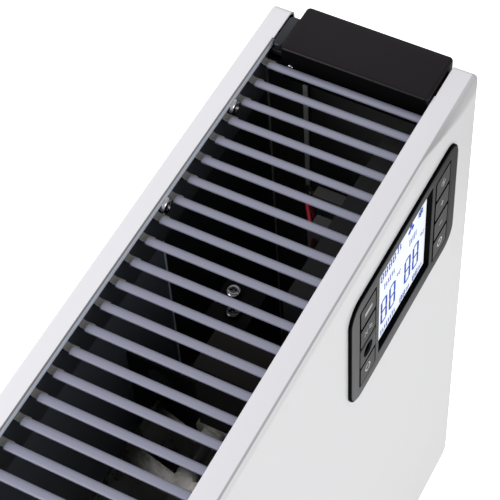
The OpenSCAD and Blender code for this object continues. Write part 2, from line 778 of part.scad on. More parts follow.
// Power board on the end frame, with its relays
board2_z = shell_low + 150;
board2_h = 96;
board2_gap = 10.4;
board2_y = [-38, 20];
module power_board() {
    color("green") {
        translate([frame_x - board2_gap - board_t, board2_y[0], board2_z])
            cube([board_t, board2_y[1] - board2_y[0], board2_h]);
        for (y = [board2_y[0] + 6, board2_y[1] - 6], z = [8, board2_h - 8])
            translate([frame_x - board2_gap, y, board2_z + z]) rotate([0, 90, 0])
                cylinder(r = 3, h = board2_gap);
    }
}
module relays() {
    color("royalblue") for (i = [0:2])
        translate([frame_x - board2_gap - board_t - 16, board2_y[0] + 6 + i * 17, board2_z + 30])
            cube([16, 12, 20]);
}

// Two plug-in connectors on the back of the housing: left x, width, length, low z, height
plugs = [[bezel_x - 6, 8, 16, bezel_z + 8.5, 8], [bezel_x + 13, 6, 24, bezel_z + 8.5, 6]];
module lead_connector() {
    color("gainsboro") for (p = plugs)
        translate([p[0], housing_back, p[3]]) cube([p[1], p[2], p[4]]);
}

module room_sensor() {
    color("black") translate([frame_x - 10, -20, plate_top + 30]) {
        rotate([0, 90, 0]) cylinder(r = 4, h = 10);
        sphere(4);
    }
}

module terminal_block() {
    color("whitesmoke") difference() {
        translate([gland_x - 40, 14, plate_top]) cube([34, 16, 14]);
        for (i = [0:2]) translate([gland_x - 34 + i * 11, 22, plate_top + 5]) cylinder(r = 3, h = 14);
    }
}

gland_len = 14;
cord_r = 3.6;
module cord_gland() {
    color("black") translate([gland_x, rear_y, gland_z]) rotate([-90, 0, 0]) difference() {
        union() {
            cylinder(r = gland_r + 3, h = 3);
            translate([0, 0, -sheet_t]) cylinder(r = gland_r - 0.1, h = sheet_t + 1);
            translate([0, 0, -sheet_t - 5]) cylinder(r = gland_r + 2, h = 5);
            cylinder(r1 = gland_r, r2 = cord_r + 2, h = gland_len);
        }
        translate([0, 0, -20]) cylinder(r = cord_r, h = 60);
    }
}

module tip_switch() {
    color("ivory") {
        translate([gland_x - 36, -22, plate_top]) cube([26, 16, 22]);
        translate([gland_x - 40, -18, plate_top]) cube([34, 8, 3]);
    }
}

// Heat shields: flat sheets with both upright edges turned to the shells
module shield(face_y, wall_y, x0, x1, low, top) {
    y0 = min(face_y, wall_y);
    y1 = max(face_y, wall_y);
    translate([x0, face_y < wall_y ? face_y : face_y - sheet_t, low]) cube([x1 - x0, sheet_t, top - low]);
    for (x = [x0, x1 - sheet_t]) translate([x, y0, low]) cube([sheet_t, y1 - y0, top - low]);
}
module rear_heat_shield() {
    color("lightslategray") shield(shield_rear_y, in_rear, -frame_x + sheet_t, shield_x, shield_low, shield_top);
}
module front_heat_shield() {
    color("lightslategray") shield(shield_front_y, in_front, -frame_x + sheet_t, element_right + 6,
        shield_low, part_low - 1);
}

// Element: a sheath with four slanted fins and their turned edges, drawn in y and z
module element_section() {
    circle(sheath_r);
    for (a = [32, 148, 212, 328]) rotate(a) {
        translate([0, -0.9]) square([sheath_r + fin_len, 1.8]);
        translate([sheath_r + fin_len - 1.8, -0.9]) square([1.8, 5]);
    }
}
module heating_element() {
    color("silver") {
        translate([0, 0, element_z]) {
            difference() {
                along_x(bracket_x[0] + 10, bracket_x[1] - 10) element_section();
                for (i = [1:11]) translate([bracket_x[0] + i * (bracket_x[1] - bracket_x[0]) / 12 - 3, 0, 0])
                    for (s = [-1, 1]) translate([0, s * (sheath_r + fin_len / 2 + 4) - 20, -40]) cube([6, 40, 80]);
            }
            along_x(element_left, element_right) circle(sheath_r);
            along_x(element_left - 8, element_right + 8) circle(2);
        }
    }
}
module element_brackets() {
    color("silver") for (x = bracket_x) difference() {
        along_x(x - sheet_t / 2, x + sheet_t / 2) difference() {
            translate([shield_front_y, element_z - 34]) square([shield_rear_y - shield_front_y, 68]);
            translate([0, element_z]) circle(sheath_r + 4);
            for (s = [-1, 1], t = [-1, 1]) translate([s * 30, element_z + t * 22]) circle(7);
        }
    }
}
module element_bushes() {
    color("ivory") for (x = bracket_x) translate([0, 0, element_z]) {
        along_x(x - 4, x + 4) difference() {
            circle(sheath_r + 4 - run_clear);
            circle(sheath_r + run_clear);
        }
        along_x(x + sheet_t / 2, x + sheet_t / 2 + 3) difference() {
            circle(sheath_r + 7);
            circle(sheath_r + run_clear);
        }
    }
}
module thermal_cutout() {
    color("black") translate([element_right - 40, shield_front_y, element_z + 27]) rotate([-90, 0, 0]) {
        cylinder(r = 8, h = 5);
        translate([-12, -3, 0]) cube([24, 6, 1]);
        for (s = [-1, 1]) translate([s * 4 - 1.5, -0.4, 5]) cube([3, 0.8, 7]);
    }
}

// Fan: scroll with two end plates, a curved back wall and a front tongue
module scroll_wall() {
    difference() {
        circle(scroll_r + scroll_t);
        circle(scroll_r);
        translate([-2 * scroll_r, 0]) square([4 * scroll_r, 2 * scroll_r]);
        translate([-2 * scroll_r, -2 * scroll_r]) square([scroll_r * 1.4, 4 * scroll_r]);
    }
    translate([scroll_r, 0]) square([scroll_t, 34]);
    translate([-scroll_r - scroll_t, 8]) square([scroll_t, 26]);
    translate([-scroll_r - scroll_t, 8]) square([3, scroll_t]);
}
module scroll_plate() {
    difference() {
        translate([-scroll_r - 6, -rotor_rise]) square([2 * scroll_r + 12, rotor_rise + 36]);
        circle(shaft_r + 4);
    }
}
module fan_scroll() {
    x0 = rotor_x0 - scroll_end;
    x1 = rotor_x0 + rotor_len + scroll_end;
    color("silver") translate([0, rotor_y, rotor_z]) {
        along_x(x0, x1) scroll_wall();
        for (x = [x0 - scroll_t, x1]) along_x(x, x + scroll_t) scroll_plate();
        for (x = [x0 - scroll_t - 6, x1 + scroll_t]) translate([x, -scroll_r, -rotor_rise])
            cube([6, 2 * scroll_r, scroll_t]);
    }
}

// One forward-curved blade, drawn in y and z
blade_r = 8;
blade_t = 0.8;
module blade() {
    translate([rotor_r - 5, 0]) intersection() {
        translate([1, -blade_r]) difference() {
            circle(blade_r);
            circle(blade_r - blade_t);
        }
        translate([-4, -2.2]) square([8.2, 3]);
    }
}
module fan_rotor() {
    disc_x = [rotor_x0, rotor_x0 + rotor_len / 2 - 0.8, rotor_x0 + rotor_len - 1.6];
    color("gray") translate([0, rotor_y, rotor_z]) {
        for (x = disc_x) along_x(x, x + 1.6) difference() {
            circle(rotor_r, $fn = 64);
            if (x == disc_x[1]) circle(rotor_r - 9);
        }
        along_x(rotor_x0, rotor_x0 + rotor_len) for (i = [0:blade_n - 1]) rotate(i * 360 / blade_n) blade();
        along_x(rotor_x0 - 9, rotor_x0 + 3) circle(shaft_r);
        along_x(rotor_x0 + rotor_len - 3, motor_x + motor_len + 4) circle(shaft_r);
    }
}

module fan_bearing() {
    x = rotor_x0 - scroll_end;
    color("peru") translate([0, rotor_y, rotor_z]) {
        along_x(x - scroll_t - 4, x) difference() {
            circle(shaft_r + 4 - run_clear);
            circle(shaft_r + run_clear);
        }
        along_x(x - scroll_t - 2, x - scroll_t) difference() {
            circle(shaft_r + 6);
            circle(shaft_r + run_clear);
        }
    }
}

module fan_motor() {
    color("darkgoldenrod") translate([0, rotor_y, rotor_z]) difference() {
        union() {
            along_x(motor_x, motor_x + 18) square([52, 46], center = true);
            along_x(motor_x - motor_seat, motor_x + motor_len) circle(shaft_r + 3.9);
            along_x(motor_x + 18, motor_x + motor_len - 4) translate([14, 0]) round_rect(18, 30, 4);
            along_x(motor_x - motor_seat, motor_x) for (s = [-1, 1]) translate([s * 20, 16]) circle(3);
            translate([motor_x, -20, -rotor_rise]) cube([18, 40, rotor_rise - 22]);
        }
        along_x(motor_x - 10, motor_x + motor_len + 4 + cut) circle(shaft_r + run_clear);
    }
}

// Leads run inside the housing: a round tube swept along points
plug_gap = 0.3;
function plug_end(p) = [p[0] + p[1] / 2, housing_back + p[2] + plug_gap + lead_r, p[3] + p[4] / 2];
red_route = [[gland_x - 23, 22, plate_top + 13], [gland_x - 24, 22, plate_top + 46],
    [gland_x - 28, 21, plate_top + 86], [gland_x - 26, 16, plate_top + 136], [gland_x - 14, 12, bezel_z - 107],
    [gland_x - 4, 11, bezel_z - 57], [gland_x - 3, 10, bezel_z - 32], [gland_x - 8, 10, bezel_z - 12],
    [gland_x - 25, 1, bezel_z + 13], plug_end(plugs[0])];
black_route = [[gland_x - 12, 22, plate_top + 13], [gland_x - 13, 23, plate_top + 46],
    [gland_x - 18, 24, plate_top + 86], [gland_x - 16, 22, plate_top + 136], [gland_x - 6, 18, bezel_z - 107],
    [gland_x, 17, bezel_z - 52], [gland_x - 1, 15, bezel_z - 22], [gland_x - 10, 9, bezel_z + 1],
    plug_end(plugs[1])];

function spline(a, b, c, d, t) = 0.5 * ((2 * b) + (c - a) * t + (2 * a - 5 * b + 4 * c - d) * t * t
    + (3 * b - a - 3 * c + d) * t * t * t);
function route_points(p, k) = [for (i = [0:len(p) - 2]) for (j = [0:k - 1])
    spline(p[max(i - 1, 0)], p[i], p[i + 1], p[min(i + 2, len(p) - 1)], j / k), p[len(p) - 1]];
function unit(v) = v / norm(v);
function ring(c, d, r, n) = let (s = unit(cross(d, [0, 1, 0.01])), u = cross(s, d))
    [for (i = [0:n - 1]) c + r * (cos(360 * i / n) * s + sin(360 * i / n) * u)];

module lead(route) {
    n = 8;
    q = route_points(route, 3);
    m = len(q);
    dirs = [for (i = [0:m - 1]) unit(q[min(i + 1, m - 1)] - q[max(i - 1, 0)])];
    pts = [for (i = [0:m - 1]) for (v = ring(q[i], dirs[i], lead_r, n)) v];
    sides = [for (i = [0:m - 2]) for (j = [0:n - 1])
        [i * n + j, i * n + (j + 1) % n, (i + 1) * n + (j + 1) % n, (i + 1) * n + j]];
    polyhedron(points = pts, faces = concat(sides,
        [[for (j = [n - 1:-1:0]) j], [for (j = [0:n - 1]) (m - 1) * n + j]]));
}
module red_lead() { color("red") lead(red_route); }
module black_lead() { color("black") lead(black_route); }

front_shell();
rear_shell();
top_grille();
bottom_plate();
right_end_cap();
left_end_cap();
right_end_frame();
left_end_frame();
right_foot();
left_foot();
foot_pads();
foot_screws();
grille_screws();
cap_screws();
shell_screws();
bezel_frame();
bezel_face();
display_lens();
display_module();
key_light();
key_mode();
key_power();
key_heat();
key_up();
key_down();
key_timer();
receiver_cell();
receiver_lens();
control_board();
key_switches();
control_housing();
control_partition();
partition_screws();
power_board();
relays();
lead_connector();
room_sensor();
terminal_block();
cord_gland();
tip_switch();
rear_heat_shield();
front_heat_shield();
heating_element();
element_brackets();
element_bushes();
thermal_cutout();
fan_scroll();
fan_rotor();
fan_motor();
fan_bearing();
red_lead();
black_lead();
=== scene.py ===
"""Low convector heater with a fan: its steel shells, slatted grille, end caps, display and keys."""
import math

import bpy
from mathutils import Matrix, Vector


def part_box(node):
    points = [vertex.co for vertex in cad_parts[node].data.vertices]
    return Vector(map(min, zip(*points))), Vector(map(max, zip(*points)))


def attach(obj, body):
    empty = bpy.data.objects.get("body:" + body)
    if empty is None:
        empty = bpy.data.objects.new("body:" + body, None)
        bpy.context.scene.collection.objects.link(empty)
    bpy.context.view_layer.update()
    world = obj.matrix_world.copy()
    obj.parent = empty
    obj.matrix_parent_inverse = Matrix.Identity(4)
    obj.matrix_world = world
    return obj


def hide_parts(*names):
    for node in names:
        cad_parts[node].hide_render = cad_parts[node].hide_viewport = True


bl_info = {
    "name": "Convector heater pieces",
    "version": (1, 0, 0),
    "blender": (4, 5, 0),
    "location": "View3D > Sidebar > Heater",
    "description": "Models and finishes the pieces of a low convector heater round its frame",
    "category": "Object",
}

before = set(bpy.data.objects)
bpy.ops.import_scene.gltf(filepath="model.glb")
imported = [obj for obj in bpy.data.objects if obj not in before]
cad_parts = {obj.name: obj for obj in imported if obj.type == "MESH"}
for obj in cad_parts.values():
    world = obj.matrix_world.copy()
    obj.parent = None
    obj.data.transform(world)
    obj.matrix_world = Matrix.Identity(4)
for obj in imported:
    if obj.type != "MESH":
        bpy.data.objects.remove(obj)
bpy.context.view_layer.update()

MM = 0.001
SLACK = 0.02 * MM
MERGE = 0.001 * MM
BODY = "heater"
PREFIX = "coat_"
FRONT_LOW, FRONT_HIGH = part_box("front_shell")
REAR_LOW, REAR_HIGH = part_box("rear_shell")
CAP_LOW, CAP_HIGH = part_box("right_end_cap")
GRILLE_LOW, GRILLE_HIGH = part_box("top_grille")
BEZEL_LOW, BEZEL_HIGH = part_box("bezel_frame")
LENS_LOW, LENS_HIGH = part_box("display_lens")
END_X = FRONT_HIGH.x
SHELL_LOW = FRONT_LOW.z
SHELL_TOP = FRONT_HIGH.z
WALL_BACK = REAR_LOW.y + 2.3 * MM
UP, ACROSS, DEEP = 2, 0, 1


# Settings

def length(name, description, value):
    return bpy.props.FloatProperty(
        name=name, description=description, default=value, unit="LENGTH", precision=5)


def paint(name, description, value):
    return bpy.props.FloatVectorProperty(
        name=name, description=description, default=value, subtype="COLOR", size=3, min=0, max=1)


def spot(name, description, value):
    return bpy.props.FloatVectorProperty(
        name=name, description=description, default=value, size=3, unit="LENGTH", precision=5)


def number(name, description, value, unit="NONE"):
    return bpy.props.FloatProperty(name=name, description=description, default=value, unit=unit)


class HeaterShells(bpy.types.PropertyGroup):
    """Sizes and paint of the two folded steel shells"""
    sheet: length("Sheet", "Thickness of the sheet steel", 1.0 * MM)
    fold: length("Front fold", "Outside radius of the front shell's folds", 2.5 * MM)
    rear_fold: length("Rear fold", "Outside radius of the rear shell's folds", 1.5 * MM)
    front_corner: length("Front corner", "Radius of the front shell's upper corners", 3.2 * MM)
    rear_corner: length("Rear corner", "Radius of the rear shell's upper corners", 5.0 * MM)
    low_corner: length("Lower corner", "Radius of the lower corners", 8.0 * MM)
    front_roll: length("Front roll", "Radius of the front lip's rolled edge", 1.0 * MM)
    rear_roll: length("Rear roll", "Radius of the rear lip's rolled edge", 1.3 * MM)
    reach: length("Reach", "How far the front lip stands in over the grille", 0.8 * MM)
    front_lip: length("Front lip", "Height of the front flange's lip", 3.0 * MM)
    rear_lip: length("Rear lip", "Height of the rear flange's lip", 3.3 * MM)
    slot_length: length("Slot length", "Length of an intake slot", 44.0 * MM)
    slot_height: length("Slot height", "Height of an intake slot", 4.0 * MM)
    powder: paint("Powder coat", "Colour of the shells outside", (0.81, 0.81, 0.82))
    inside: paint("Inside", "Colour of the shells inside", (0.020, 0.023, 0.027))


class HeaterGrille(bpy.types.PropertyGroup):
    """Sizes and paint of the slatted top grille"""
    pitch: length("Pitch", "Distance from slat to slat", 13.0 * MM)
    count: bpy.props.IntProperty(name="Slats", description="How many slats the grille has", default=42)
    width: length("Width", "Width of a slat", 5.9 * MM)
    height: length("Height", "Height of a slat's arched section", 1.4 * MM)
    drop: length("Drop", "Depth of the slats' crest below the flanges", 5.7 * MM)
    crown: length("Crown", "Radius of a slat's arched top", 4.0 * MM)
    neck_width: length("Neck width", "Width of a slat's narrow neck", 3.8 * MM)
    neck_sheet: length("Neck thickness", "Thickness of a slat's neck", 0.8 * MM)
    neck_bend: length("Neck bend", "Outside bend radius of a slat's neck", 4.0 * MM)
    wall: length("Wall", "Thickness of the grille's side walls", 0.8 * MM)
    slat_paint: paint("Slat paint", "Colour of the slats", (0.265, 0.272, 0.343))
    wall_paint: paint("Wall paint", "Colour of the grille's side walls", (0.030, 0.035, 0.043))


class HeaterCaps(bpy.types.PropertyGroup):
    """Sizes and colour of the moulded end caps"""
    block: length("Block", "Length of the cap's top block", 30.45 * MM)
    block_depth: length("Block depth", "Depth of the cap's top block", 77.4 * MM)
    block_front: length("Block front", "Place of the block's front face", -40.0 * MM)
    corner: length("Corner", "Radius of the upright corners", 2.2 * MM)
    edge: length("Edge", "Radius of the top edge", 1.6 * MM)
    grip_width: length("Grip width", "Width of the hand grip", 34.0 * MM)
    grip_height: length("Grip height", "Height of the hand grip", 96.0 * MM)
    plastic: paint("Plastic", "Colour of the caps", (0.011, 0.009, 0.0105))


class HeaterControls(bpy.types.PropertyGroup):
    """Sizes and colours of the bezel, keys and display"""
    corner: length("Bezel corner", "Corner radius of the bezel", 11.0 * MM)
    face: length("Face", "Thickness of the bezel's face plate", 0.3 * MM)
    stand_out: length("Stand-out", "How far the bezel stands out of the front", 1.7 * MM)
    key_trim: length("Key trim", "How much smaller than its solid a key's cap is, on each side", 0.5 * MM)
    key_gap: length("Key clearance", "Clearance between a key's solid and its pocket", 0.5 * MM)
    bezel_paint: paint("Bezel paint", "Colour of the bezel's face", (0.115, 0.115, 0.118))
    key_paint: paint("Key paint", "Colour of the keys", (0.036, 0.035, 0.036))
    mark_paint: paint("Mark paint", "Colour of the marks on the keys", (0.48, 0.48, 0.50))
    backlight: paint("Backlight", "Colour of the lit display", (0.90, 0.94, 1.0))
    segment: paint("Segments", "Colour of the display's segments", (0.0, 0.055, 0.42))


class HeaterStage(bpy.types.PropertyGroup):
    """Camera, lamps and floor"""
    eye: spot("Camera place", "Where the camera stands", (-0.23052, -0.24513, 1.02005))
    target: spot("Camera target", "The point in the middle of the picture", (0.160045, -0.005373, 0.395))
    roll: number("Camera roll", "Turn of the camera about its line of sight", math.radians(-4.3766),
                 "ROTATION")
    focal: number("Focal length", "Focal length in millimetres", 127.28)
    floor: paint("Floor", "Colour of the floor", (0.86, 0.86, 0.86))
    sky: number("Sky", "Strength of the even light", 0.52)
    main_power: number("Main lamp", "Power of the main lamp", 22.0)
    front_power: number("Front lamp", "Power of the front lamp", 10.0)
    side_power: number("Side lamp", "Power of the side lamp", 1.2)


# Modelling by hand: selecting, shaping and joining

def let_go():
    if bpy.context.object and bpy.context.object.mode != "OBJECT":
        bpy.ops.object.mode_set(mode="OBJECT")
    bpy.ops.object.select_all(action="DESELECT")


def take(piece, *others):
    let_go()
    for one in (piece, *others):
        one.select_set(True)
    bpy.context.view_layer.objects.active = piece


def settle(piece, name=None):
    """Puts the piece's place, turn and size into its mesh."""
    take(piece)
    if name:
        piece.name = name
    bpy.ops.object.transform_apply(location=True, rotation=True, scale=True)
    return piece


def block(name, low, high):
    low, high = Vector(low), Vector(high)
    let_go()
    bpy.ops.mesh.primitive_cube_add(size=1, location=(low + high) / 2, scale=high - low)
    return settle(bpy.context.object, name)


TURNS = {ACROSS: (0, math.pi / 2, 0), DEEP: (-math.pi / 2, 0, 0), UP: (0, 0, 0)}


def rod(name, centre, radius, size, axis=UP, sides=48):
    let_go()
    bpy.ops.mesh.primitive_cylinder_add(
        vertices=sides, radius=radius, depth=size, location=centre, rotation=TURNS[axis])
    return settle(bpy.context.object, name)


def choose(piece, kind, test):
    """Selects the faces or edges that pass the test and stays in edit mode."""
    take(piece)
    bpy.ops.object.mode_set(mode="EDIT")
    bpy.ops.mesh.select_mode(type=kind)
    bpy.ops.mesh.select_all(action="DESELECT")
    leave()
    mesh = piece.data
    if kind == "FACE":
        for one in mesh.polygons:
            one.select = test(one.center, one.normal)
    else:
        for one in mesh.edges:
            one.select = test(*(mesh.vertices[i].co for i in one.vertices))
    bpy.ops.object.mode_set(mode="EDIT")


def choose_all(piece):
    """Selects the whole mesh and stays in edit mode."""
    take(piece)
    bpy.ops.object.mode_set(mode="EDIT")
    bpy.ops.mesh.select_all(action="SELECT")


def leave():
    bpy.ops.object.mode_set(mode="OBJECT")


def extrude(*way):
    bpy.ops.mesh.extrude_region_move(TRANSFORM_OT_translate={"value": way})


def middle(low, high):
    return [(a + b) / 2 for a, b in zip(low, high)]


def runs(a, b, axis):
    return abs((b - a)[axis]) > 0.999 * (b - a).length


def both(a, b, axis, goal):
    """True where both ends of an edge lie at the goal along the axis."""
    return abs(a[axis] - goal) < SLACK and abs(b[axis] - goal) < SLACK


def round_edges(piece, test, radius, steps, profile=0.5):
    choose(piece, "EDGE", test)
    bpy.ops.mesh.bevel(offset_type="OFFSET", offset=radius, segments=steps, profile=profile, affect="EDGES")
    leave()


def slice_at(piece, place, normal, clear=False):
    """Cuts the mesh along a plane, and drops the side that the normal points to if clear is set."""
    choose_all(piece)
    bpy.ops.mesh.bisect(plane_co=place, plane_no=normal, use_fill=clear, clear_outer=clear, threshold=MERGE)
    leave()


def outward(piece):
    """Merges doubled points and turns every face outwards."""
    choose_all(piece)
    bpy.ops.mesh.remove_doubles(threshold=MERGE)
    bpy.ops.mesh.normals_make_consistent(inside=False)
    leave()
    return piece


def modify(piece, kind, **values):
    take(piece)
    modifier = piece.modifiers.new(kind.lower(), kind)
    for key, value in values.items():
        setattr(modifier, key, value)
    bpy.ops.object.modifier_apply(modifier=modifier.name)
    return piece


def combine(piece, operation, others):
    """Cuts the others from the piece or adds them to it, and removes them."""
    for other in others:
        modify(piece, "BOOLEAN", operation=operation, solver="MANIFOLD", object=other)
        bpy.data.objects.remove(other)
    return piece


def cut(piece, *tools):
    return combine(piece, "DIFFERENCE", tools)


def fuse(piece, *others):
    return combine(piece, "UNION", others)


def repeat(piece, count, step):
    modify(piece, "ARRAY", count=count, use_relative_offset=False, use_constant_offset=True,
           constant_offset_displace=step)


def join(name, pieces):
    take(*pieces)
    bpy.ops.object.join()
    bpy.context.object.name = name
    return bpy.context.object


def copy_of(piece, name, shift=(0, 0, 0), flip=False):
    """A copy with its own mesh, moved by shift or mirrored left to right."""
    twin = piece.copy()
    twin.data = piece.data.copy()
    bpy.context.scene.collection.objects.link(twin)
    twin.location = shift
    if flip:
        twin.scale.x = -1
    settle(twin, name)
    if flip:
        choose_all(twin)
        bpy.ops.mesh.flip_normals()
        leave()
    return twin


def soft_box(name, low, high, axis, corner, edge, faces=(-1, 1), corner_steps=8, edge_steps=4):
    """A box with round corners along an axis and round edges on the faces across it."""
    piece = block(name, low, high)
    round_edges(piece, lambda a, b: runs(a, b, axis), corner, corner_steps)
    ends = [low[axis] if side < 0 else high[axis] for side in faces]
    if edge:
        round_edges(piece, lambda a, b: any(both(a, b, axis, end) for end in ends), edge, edge_steps)
    return piece


def coat(piece, *materials):
    piece.data.materials.clear()
    for material in materials:
        piece.data.materials.append(material)


def coat_faces(piece, materials, rule):
    """Coats each face with the material whose number the rule gives for the face's middle and normal."""
    coat(piece, *materials)
    for one in piece.data.polygons:
        one.material_index = rule(one.center, one.normal)


def front_first(centre, normal):
    return 0 if normal.y < -0.7 else 1


def dress(piece, material, body=BODY, replaces=(), degrees=35):
    """Finishes a piece: material, smooth shading, body and the nodes that it stands for."""
    if material:
        coat(piece, material)
    take(piece)
    bpy.ops.object.shade_smooth_by_angle(angle=math.radians(degrees))
    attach(piece, body)
    if replaces:
        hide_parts(*replaces)


# Finishes

def fill(tree, node, values):
    """Sets inputs of a node; a value that is another node's output is linked."""
    for key, value in values.items():
        if isinstance(value, bpy.types.NodeSocket):
            tree.links.new(value, node.inputs[key])
        else:
            node.inputs[key].default_value = value


def add_node(tree, kind, values=None, **settings):
    """Adds a shader node with its settings and input values, and gives back its outputs."""
    node = tree.nodes.new("ShaderNode" + kind)
    for key, value in settings.items():
        setattr(node, key, value)
    fill(tree, node, values or {})
    return node.outputs


def maths(tree, operation, *values):
    return add_node(tree, "Math", dict(enumerate(values)), operation=operation)[0]


def tinted(tree, colour, factor):
    """The colour times a factor that changes over the surface."""
    return add_node(tree, "VectorMath", {0: colour[:3], "Scale": factor}, operation="SCALE")[0]


def ramp(tree, value, low, high, start=0.0, end=1.0):
    """A soft step from start to end while the value goes from low to high."""
    values = {"Value": value, "From Min": low, "From Max": high, "To Min": start, "To Max": end}
    return add_node(tree, "MapRange", values, interpolation_type="SMOOTHSTEP")[0]


def place_parts(tree):
    """The three parts of a point's place on the object."""
    return add_node(tree, "SeparateXYZ", {0: add_node(tree, "TexCoord")["Object"]})


def grain_group():
    """Fine surface grain and slow tone drift, as a height, a tone factor and a roughness factor."""
    name = "surface_grain"
    if name in bpy.data.node_groups:
        return bpy.data.node_groups[name]
    group = bpy.data.node_groups.new(name, "ShaderNodeTree")
    for label, kind, value in (("Grain scale", "Float", 900.0), ("Stretch", "Vector", (1, 1, 1)),
                               ("Drift scale", "Float", 9.0), ("Drift", "Float", 0.05)):
        socket = group.interface.new_socket(label, in_out="INPUT", socket_type="NodeSocket" + kind)
        socket.default_value = value
    for label in ("Height", "Tone", "Rough"):
        group.interface.new_socket(label, in_out="OUTPUT", socket_type="NodeSocketFloat")
    given = group.nodes.new("NodeGroupInput").outputs
    place = add_node(group, "TexCoord")["Object"]
    scaled = add_node(group, "VectorMath", {0: place, 1: given["Stretch"]}, operation="MULTIPLY")[0]
    fine = add_node(group, "TexNoise", {"Vector": scaled, "Scale": given["Grain scale"], "Detail": 3})["Fac"]
    slow = add_node(group, "TexNoise", {"Vector": place, "Scale": given["Drift scale"], "Detail": 2})["Fac"]
    mix = maths(group, "ADD", maths(group, "MULTIPLY", slow, 0.7), maths(group, "MULTIPLY", fine, 0.3))
    swing = maths(group, "MULTIPLY", maths(group, "SUBTRACT", mix, 0.5), given["Drift"])
    rough = maths(group, "ADD", maths(group, "MULTIPLY", swing, 2.0), 1.0)
    fill(group, group.nodes.new("NodeGroupOutput"),
         {"Height": fine, "Tone": maths(group, "ADD", swing, 1.0), "Rough": rough})
    return group


def blank(name):
    """A new material with its tree and shader; the frame's own materials already hold the plain names."""
    material = bpy.data.materials.new(PREFIX + name)
    material.use_nodes = True
    return material, material.node_tree, material.node_tree.nodes["Principled BSDF"]


def fold_painted_shade(tree):
    """Painted shade: darkens the start of the front shell's top fold, in a band that widens towards the right
    cap.
    """
    x, y, z = place_parts(tree)
    narrow, wide, fold = 1.0 * MM, 12.5 * MM, 2.5 * MM
    start, end = 0.235, 0.290
    run = maths(tree, "SUBTRACT", FRONT_LOW.y + fold + SHELL_TOP, maths(tree, "ADD", y, z))
    share = maths(tree, "DIVIDE", run, ramp(tree, x, start, end, narrow, wide))
    onset, fall = ramp(tree, run, -0.5 * MM, 0.1 * MM), ramp(tree, share, 0.65, 1.35, 1.0, 0.0)
    band = maths(tree, "MULTIPLY", onset, fall)
    depth = ramp(tree, x, start, end, 0.50, 0.30)
    return maths(tree, "SUBTRACT", 1.0, maths(tree, "MULTIPLY", band, depth))


def painted_light_and_shade(*rules):
    """Paints light and shade into the tone where a rule holds: its gain, then soft steps as axis, start and
    end in millimetres. A positive gain is a painted highlight, a negative one painted shade. Steps across
    take the distance from the heater's middle."""
    def shade(tree):
        parts = place_parts(tree)
        total = 1.0
        for gain, *steps in rules:
            share = gain
            for axis, low, high in steps:
                value = maths(tree, "ABSOLUTE", parts[0]) if axis == ACROSS else parts[axis]
                share = maths(tree, "MULTIPLY", share, ramp(tree, value, low * MM, high * MM))
            total = maths(tree, "ADD", total, share)
        return total
    return shade


def finish(name, colour, rough, grain=900.0, depth=0.02 * MM, drift=0.06, drift_scale=9.0, stretch=(1, 1, 1),
           metal=0.0, coat=0.0, coat_rough=0.1, specular=0.5, shade=None):
    """A plain finish with grain in its height, tone and roughness; shade paints light and shade into the tone
    by place.
    """
    tree, shader = blank(name)[1:]
    grains = add_node(tree, "Group", {"Grain scale": grain, "Stretch": stretch, "Drift scale": drift_scale,
                                      "Drift": drift}, node_tree=grain_group())
    tone = grains["Tone"]
    if shade:
        tone = maths(tree, "MULTIPLY", tone, shade(tree))
    bump = add_node(tree, "Bump", {"Strength": 0.6, "Distance": depth, "Height": grains["Height"]})
    fill(tree, shader, {
        "Base Color": tinted(tree, colour, tone),
        "Roughness": maths(tree, "MULTIPLY", grains["Rough"], rough),
        "Metallic": metal, "Coat Weight": coat, "Coat Roughness": coat_rough,
        "Specular IOR Level": specular, "Normal": bump["Normal"]})


def spangle(name, colour, rough=0.38, flake=160.0):
    """Galvanised sheet: metal with large pale crystals."""
    tree, shader = blank(name)[1:]
    place = add_node(tree, "TexCoord")["Object"]
    cells = add_node(tree, "TexVoronoi", {"Scale": flake, "Vector": place})["Color"]
    tones = add_node(tree, "SeparateColor", {0: cells})
    swing = maths(tree, "ADD", maths(tree, "MULTIPLY", tones[0], 0.30), 0.82)
    bump = add_node(tree, "Bump", {"Distance": 0.01 * MM, "Height": tones[1]})
    fill(tree, shader, {
        "Base Color": tinted(tree, colour, swing), "Roughness": maths(tree, "MULTIPLY", swing, rough),
        "Metallic": 0.85, "Normal": bump["Normal"]})


def glow(name, colour, strength):
    """A lit surface, a little uneven as a backlight is."""
    tree, shader = blank(name)[1:]
    tone = add_node(tree, "Group", {"Grain scale": 60.0, "Drift scale": 22.0, "Drift": 0.06},
                    node_tree=grain_group())["Tone"]
    fill(tree, shader, {
        "Emission Color": tinted(tree, colour, tone), "Emission Strength": strength,
        "Base Color": tinted(tree, [0.1 * part for part in colour], tone), "Roughness": 0.5,
        "Specular IOR Level": 0.1})


POWDER = {"rough": 0.42, "grain": 1500, "depth": 0.012 * MM, "drift": 0.03, "drift_scale": 5}
GLOSS = {"coat": 0.3, "coat_rough": 0.15}
SLAT = {"grain": 1200, "depth": 0.01 * MM}
CAP = {"grain": 2200}
CONTROLS = {"grain": 2600, "depth": 0.01 * MM, "drift": 0.08}
SCREW = {"metal": 1.0, "grain": 1600, "depth": 0.004 * MM}
DARK = {"rough": 0.5, "drift": 0.4}


